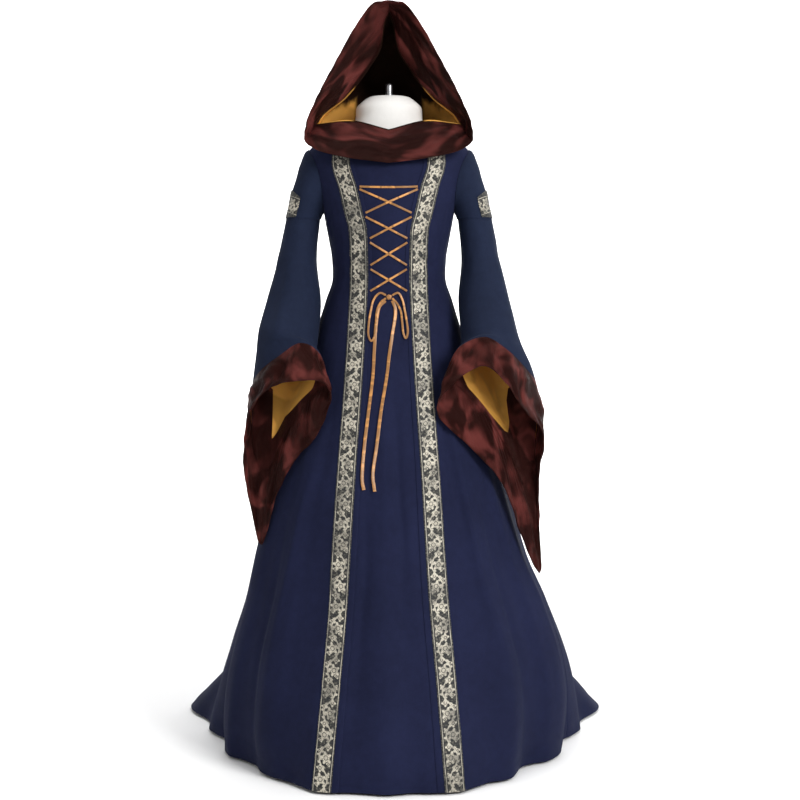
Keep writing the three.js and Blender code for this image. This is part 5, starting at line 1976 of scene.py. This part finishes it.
class GOWN_OT_front_ribbons(bpy.types.Operator):
    """Floral ribbon down both sides of the centre front"""

    bl_idname = "gown.front_ribbons"
    bl_label = "Front ribbons"

    def execute(self, context):
        levels = LEVELS[LEVELS <= RIBBON_TOP]
        shares = np.linspace(-1, 1, 13)
        for name, side in SIDES:
            start = ribbon_angle(levels, -1)[:, None]
            end = ribbon_angle(levels, 1)[:, None]
            deg = side * mix(start, end, (shares[None, :] + 1) / 2)
            pucker = 0.25 * np.sin(levels / 5.5)[:, None] * shares[None, :] ** 4
            outer = on_body(deg, levels[:, None], SEAM + RIBBON_WALL + pucker)
            inner = on_body(deg, levels[:, None], SEAM + pucker * 0.3)
            piece = shell(f"front_trim_{name}_ribbon", outer, inner, False)
            declare_sheet(piece, outer, False)
            dress(piece, material_for("floral ribbon"), "floral_ribbon", f"front_trim_{name}")
        return {"FINISHED"}


class GOWN_OT_upper_sleeves(bpy.types.Operator):
    """Fitted upper sleeves, from the armhole to the seam above the elbow"""

    bl_idname = "gown.upper_sleeves"
    bl_label = "Upper sleeves"

    def execute(self, context):
        start = armhole_at(ARM_ANGLES)
        shares = np.concatenate([np.linspace(0, 0.96, 44), [0.985, 1]])
        ts = mix(start[None, :], 3.0, shares[:, None])
        phi = np.broadcast_to(ARM_ANGLES[None, :], ts.shape)
        for name, side in SIDES:
            outer = across_x(on_upper(phi, ts, 0.0), side)
            inner = across_x(on_upper(phi, ts, -cloth_wall()), side)
            piece = shell(f"upper_sleeve_{name}_cloth", outer, inner, True)
            declare_sheet(piece, outer, True)
            dress(piece, material_for("navy sleeve"), "navy_cloth", f"upper_sleeve_{name}")
        return {"FINISHED"}


class GOWN_OT_arm_ribbons(bpy.types.Operator):
    """Floral ribbon round the outside of the upper sleeve, above its seam"""

    bl_idname = "gown.arm_ribbons"
    bl_label = "Arm ribbons"

    def execute(self, context):
        angles = np.linspace(20, 160, 50)
        ts = np.linspace(1.98, 2.93, 13)[:, None]
        phi = np.broadcast_to(angles[None, :], (13, 50))
        ts = np.broadcast_to(ts, phi.shape)
        for name, side in SIDES:
            outer = np.swapaxes(across_x(on_upper(phi, ts, ARMBAND_STANDS + RIBBON_WALL), side), 0, 1)
            inner = np.swapaxes(across_x(on_upper(phi, ts, ARMBAND_STANDS), side), 0, 1)
            piece = shell(f"armband_{name}_ribbon", outer, inner, False)
            declare_sheet(piece, outer, False)
            dress(piece, material_for("floral ribbon"), "floral_ribbon", f"armband_{name}")
        return {"FINISHED"}


class GOWN_OT_lower_sleeves(bpy.types.Operator):
    """Trumpet sleeves, from the elbow seam to the seam of the satin band"""

    bl_idname = "gown.lower_sleeves"
    bl_label = "Lower sleeves"

    def execute(self, context):
        ts = np.append(SLEEVE_TS[SLEEVE_TS < T_BAND - BAND_GAP], T_BAND - BAND_GAP)
        cloth = ("navy sleeve", "navy_cloth", "upper_sleeve")
        for name, side in SIDES:
            sleeve_shell("lower_sleeve", name, side, ts, 0.0, SLEEVE_WALL, 0, *cloth)
        return {"FINISHED"}


class GOWN_OT_sleeve_linings(bpy.types.Operator):
    """Ochre linings of the trumpet sleeves"""

    bl_idname = "gown.sleeve_linings"
    bl_label = "Sleeve linings"

    def execute(self, context):
        inside = (SLEEVE_TS >= LINING_FROM) & (SLEEVE_TS < T_BAND)
        ts = np.append(SLEEVE_TS[inside], [T_BAND, T_BAND + LAP])
        cloth = ("ochre lining", "ochre_lining", "lower_sleeve")
        for name, side in SIDES:
            sleeve_shell("sleeve_lining", name, side, ts, -LINING_INSIDE, LINING_WALL, 0, *cloth)
        return {"FINISHED"}


class GOWN_OT_cuff_bands(bpy.types.Operator):
    """Double maroon satin bands round the sleeve mouths"""

    bl_idname = "gown.cuff_bands"
    bl_label = "Cuff bands"

    def execute(self, context):
        ts = SLEEVE_TS[SLEEVE_TS >= T_BAND]
        cloth = ("maroon cuff satin", "maroon_satin", "lower_sleeve")
        walls = (CUFF_STANDS, CUFF_WALL, CUFF_CRUMPLE)
        for name, side in SIDES:
            sleeve_shell("cuff_band", name, side, ts, *walls, *cloth)
            self.facing(name, side)
        return {"FINISHED"}

    def facing(self, name, side):
        """The band's inner layer, which reaches further up inside the sleeve"""
        shown = (SLEEVE_ANGLES >= FACING_FROM) & (SLEEVE_ANGLES <= FACING_TO)
        starts = loop_values(FACING_START[name], SLEEVE_ANGLES[shown])
        ends = T_BAND + 3 * LAP
        ts = np.linspace(T_FLARE, ends, 40)
        grids = []
        for out in FACING_OUTS:
            whole, _ = on_sleeve(name, ts, out, 0)
            whole = across_x(whole, side)[:, shown]
            rows = []
            for share in np.linspace(0, 1, 30):
                row = np.empty((len(starts), 3))
                for j, start in enumerate(starts):
                    at = mix(start, ends, share)
                    row[j] = [np.interp(at, ts, whole[:, j, n]) for n in range(3)]
                rows.append(row)
            grids.append(np.stack(rows))
        piece = shell(f"cuff_facing_{name}_cloth", grids[0], grids[1], False)
        declare_sheet(piece, grids[0], False, -1)
        dress(piece, material_for("maroon cuff satin"), "maroon_satin")


class GOWN_OT_hood_band(bpy.types.Operator):
    """Maroon satin band round the face opening, rolled out under the neck as a cowl"""

    bl_idname = "gown.hood_band"
    bl_label = "Hood band"

    def execute(self, context):
        phi = np.arange(0, 360, 1.8)
        ts = np.linspace(0, 0.972, 45)
        how = (HOOD_BAND_OUTS, HOOD_BAND_CRUMPLE, True, "folded", ["hood_left", "hood_right"])
        hood_shell("hood_band", phi, ts, *how, "maroon satin", "maroon_satin")
        return {"FINISHED"}


class GOWN_OT_hood_halves(bpy.types.Operator):
    """Navy halves of the hood, joined along the crown"""

    bl_idname = "gown.hood_halves"
    bl_label = "Hood halves"

    def execute(self, context):
        ts = np.linspace(1, 4, 110)
        for name, side in SIDES:
            phi = side * np.concatenate([[0.25, 1.2, 2.4], np.linspace(4, 178, 92), [179.8]])
            how = (HOOD_OUTS, 0, False, "draped", ["back_left", "back_right"])
            hood_shell(f"hood_{name}", phi, ts, *how, "navy cloth", "navy_cloth")
        return {"FINISHED"}


class GOWN_OT_hood_lining(bpy.types.Operator):
    """Ochre lining of the hood, with painted shade in its depth"""

    bl_idname = "gown.hood_lining"
    bl_label = "Hood lining"

    def execute(self, context):
        phi = np.arange(0, 360, 2.4)
        ts = np.linspace(0.945, 3.8, 92)
        how = (HOOD_LINING_OUTS, 0, True, "draped", ["hood_left", "hood_right"])
        hood_shell("hood_lining", phi, ts, *how, "ochre hood lining", "ochre_lining")
        return {"FINISHED"}


class GOWN_OT_lacing(bpy.types.Operator):
    """Narrow ribbon laced to and fro between the eyelets of the side fronts"""

    bl_idname = "gown.lacing"
    bl_label = "Lacing"

    def execute(self, context):
        gold = material_for("gold lace")
        top, half = EYELETS[0]
        rung("lace_top", (-half, top), (half, top), 0, gold)
        for i in range(len(EYELETS) - 1):
            z_high, half_high = EYELETS[i]
            z_low, half_low = EYELETS[i + 1]
            drop = 6 if i == 0 else 4.5
            ends = (half_high, z_high - drop, half_low, z_low + 4.5)
            rung(f"lace_{i + 1}a", (-ends[0], ends[1]), (ends[2], ends[3]), 0, gold)
            rung(f"lace_{i + 1}b", (ends[0], ends[1]), (-ends[2], ends[3]), 2.1, gold)
        return {"FINISHED"}


class GOWN_OT_bow(bpy.types.Operator):
    """Bow at the end of the lacing with two long tails"""

    bl_idname = "gown.bow"
    bl_label = "Bow and tails"

    def execute(self, context):
        gold = material_for("gold lace")
        sizes = context.scene.gown_sizes
        width = sizes.lace_width * 1000
        tail = sizes.tail_width * 1000
        bow_knot(gold)
        for name, _ in SIDES:
            hanging(f"bow_loop_{name}", BOW_LOOPS[name], width, gold, 14)
            hanging(f"lace_tail_{name}", TAILS[name], tail, gold, 16)
        return {"FINISHED"}


class GOWN_PT_pieces(bpy.types.Panel):
    """Lists the gown's pieces and settings"""

    bl_label = "Gown"
    bl_idname = "GOWN_PT_pieces"
    bl_space_type = "VIEW_3D"
    bl_region_type = "UI"
    bl_category = "Gown"

    def draw(self, context):
        layout = self.layout
        for operator in OPERATORS:
            layout.operator(operator.bl_idname)
        for group in (context.scene.gown_sizes, context.scene.gown_colours, context.scene.gown_stage):
            box = layout.box()
            for key in group.__annotations__:
                box.prop(group, key)


OPERATORS = (
    GOWN_OT_stage,
    GOWN_OT_lacing,
    GOWN_OT_bow,
    GOWN_OT_dress_form,
    GOWN_OT_stand,
    GOWN_OT_centre_front,
    GOWN_OT_side_fronts,
    GOWN_OT_side_backs,
    GOWN_OT_backs,
    GOWN_OT_front_ribbons,
    GOWN_OT_upper_sleeves,
    GOWN_OT_arm_ribbons,
    GOWN_OT_lower_sleeves,
    GOWN_OT_sleeve_linings,
    GOWN_OT_cuff_bands,
    GOWN_OT_hood_band,
    GOWN_OT_hood_halves,
    GOWN_OT_hood_lining,
)
SETTINGS = (GownSizes, GownColours, GownStage)


def register():
    for made in SETTINGS + OPERATORS + (GOWN_PT_pieces,):
        bpy.utils.register_class(made)
    bpy.types.Scene.gown_sizes = PointerProperty(type=GownSizes)
    bpy.types.Scene.gown_colours = PointerProperty(type=GownColours)
    bpy.types.Scene.gown_stage = PointerProperty(type=GownStage)


def unregister():
    del bpy.types.Scene.gown_stage
    del bpy.types.Scene.gown_colours
    del bpy.types.Scene.gown_sizes
    for made in reversed(SETTINGS + OPERATORS + (GOWN_PT_pieces,)):
        bpy.utils.unregister_class(made)


def main():
    register()
    for operator in OPERATORS:
        group, name = operator.bl_idname.split(".")
        getattr(getattr(bpy.ops, group), name)()


if __name__ == "__main__":
    main()
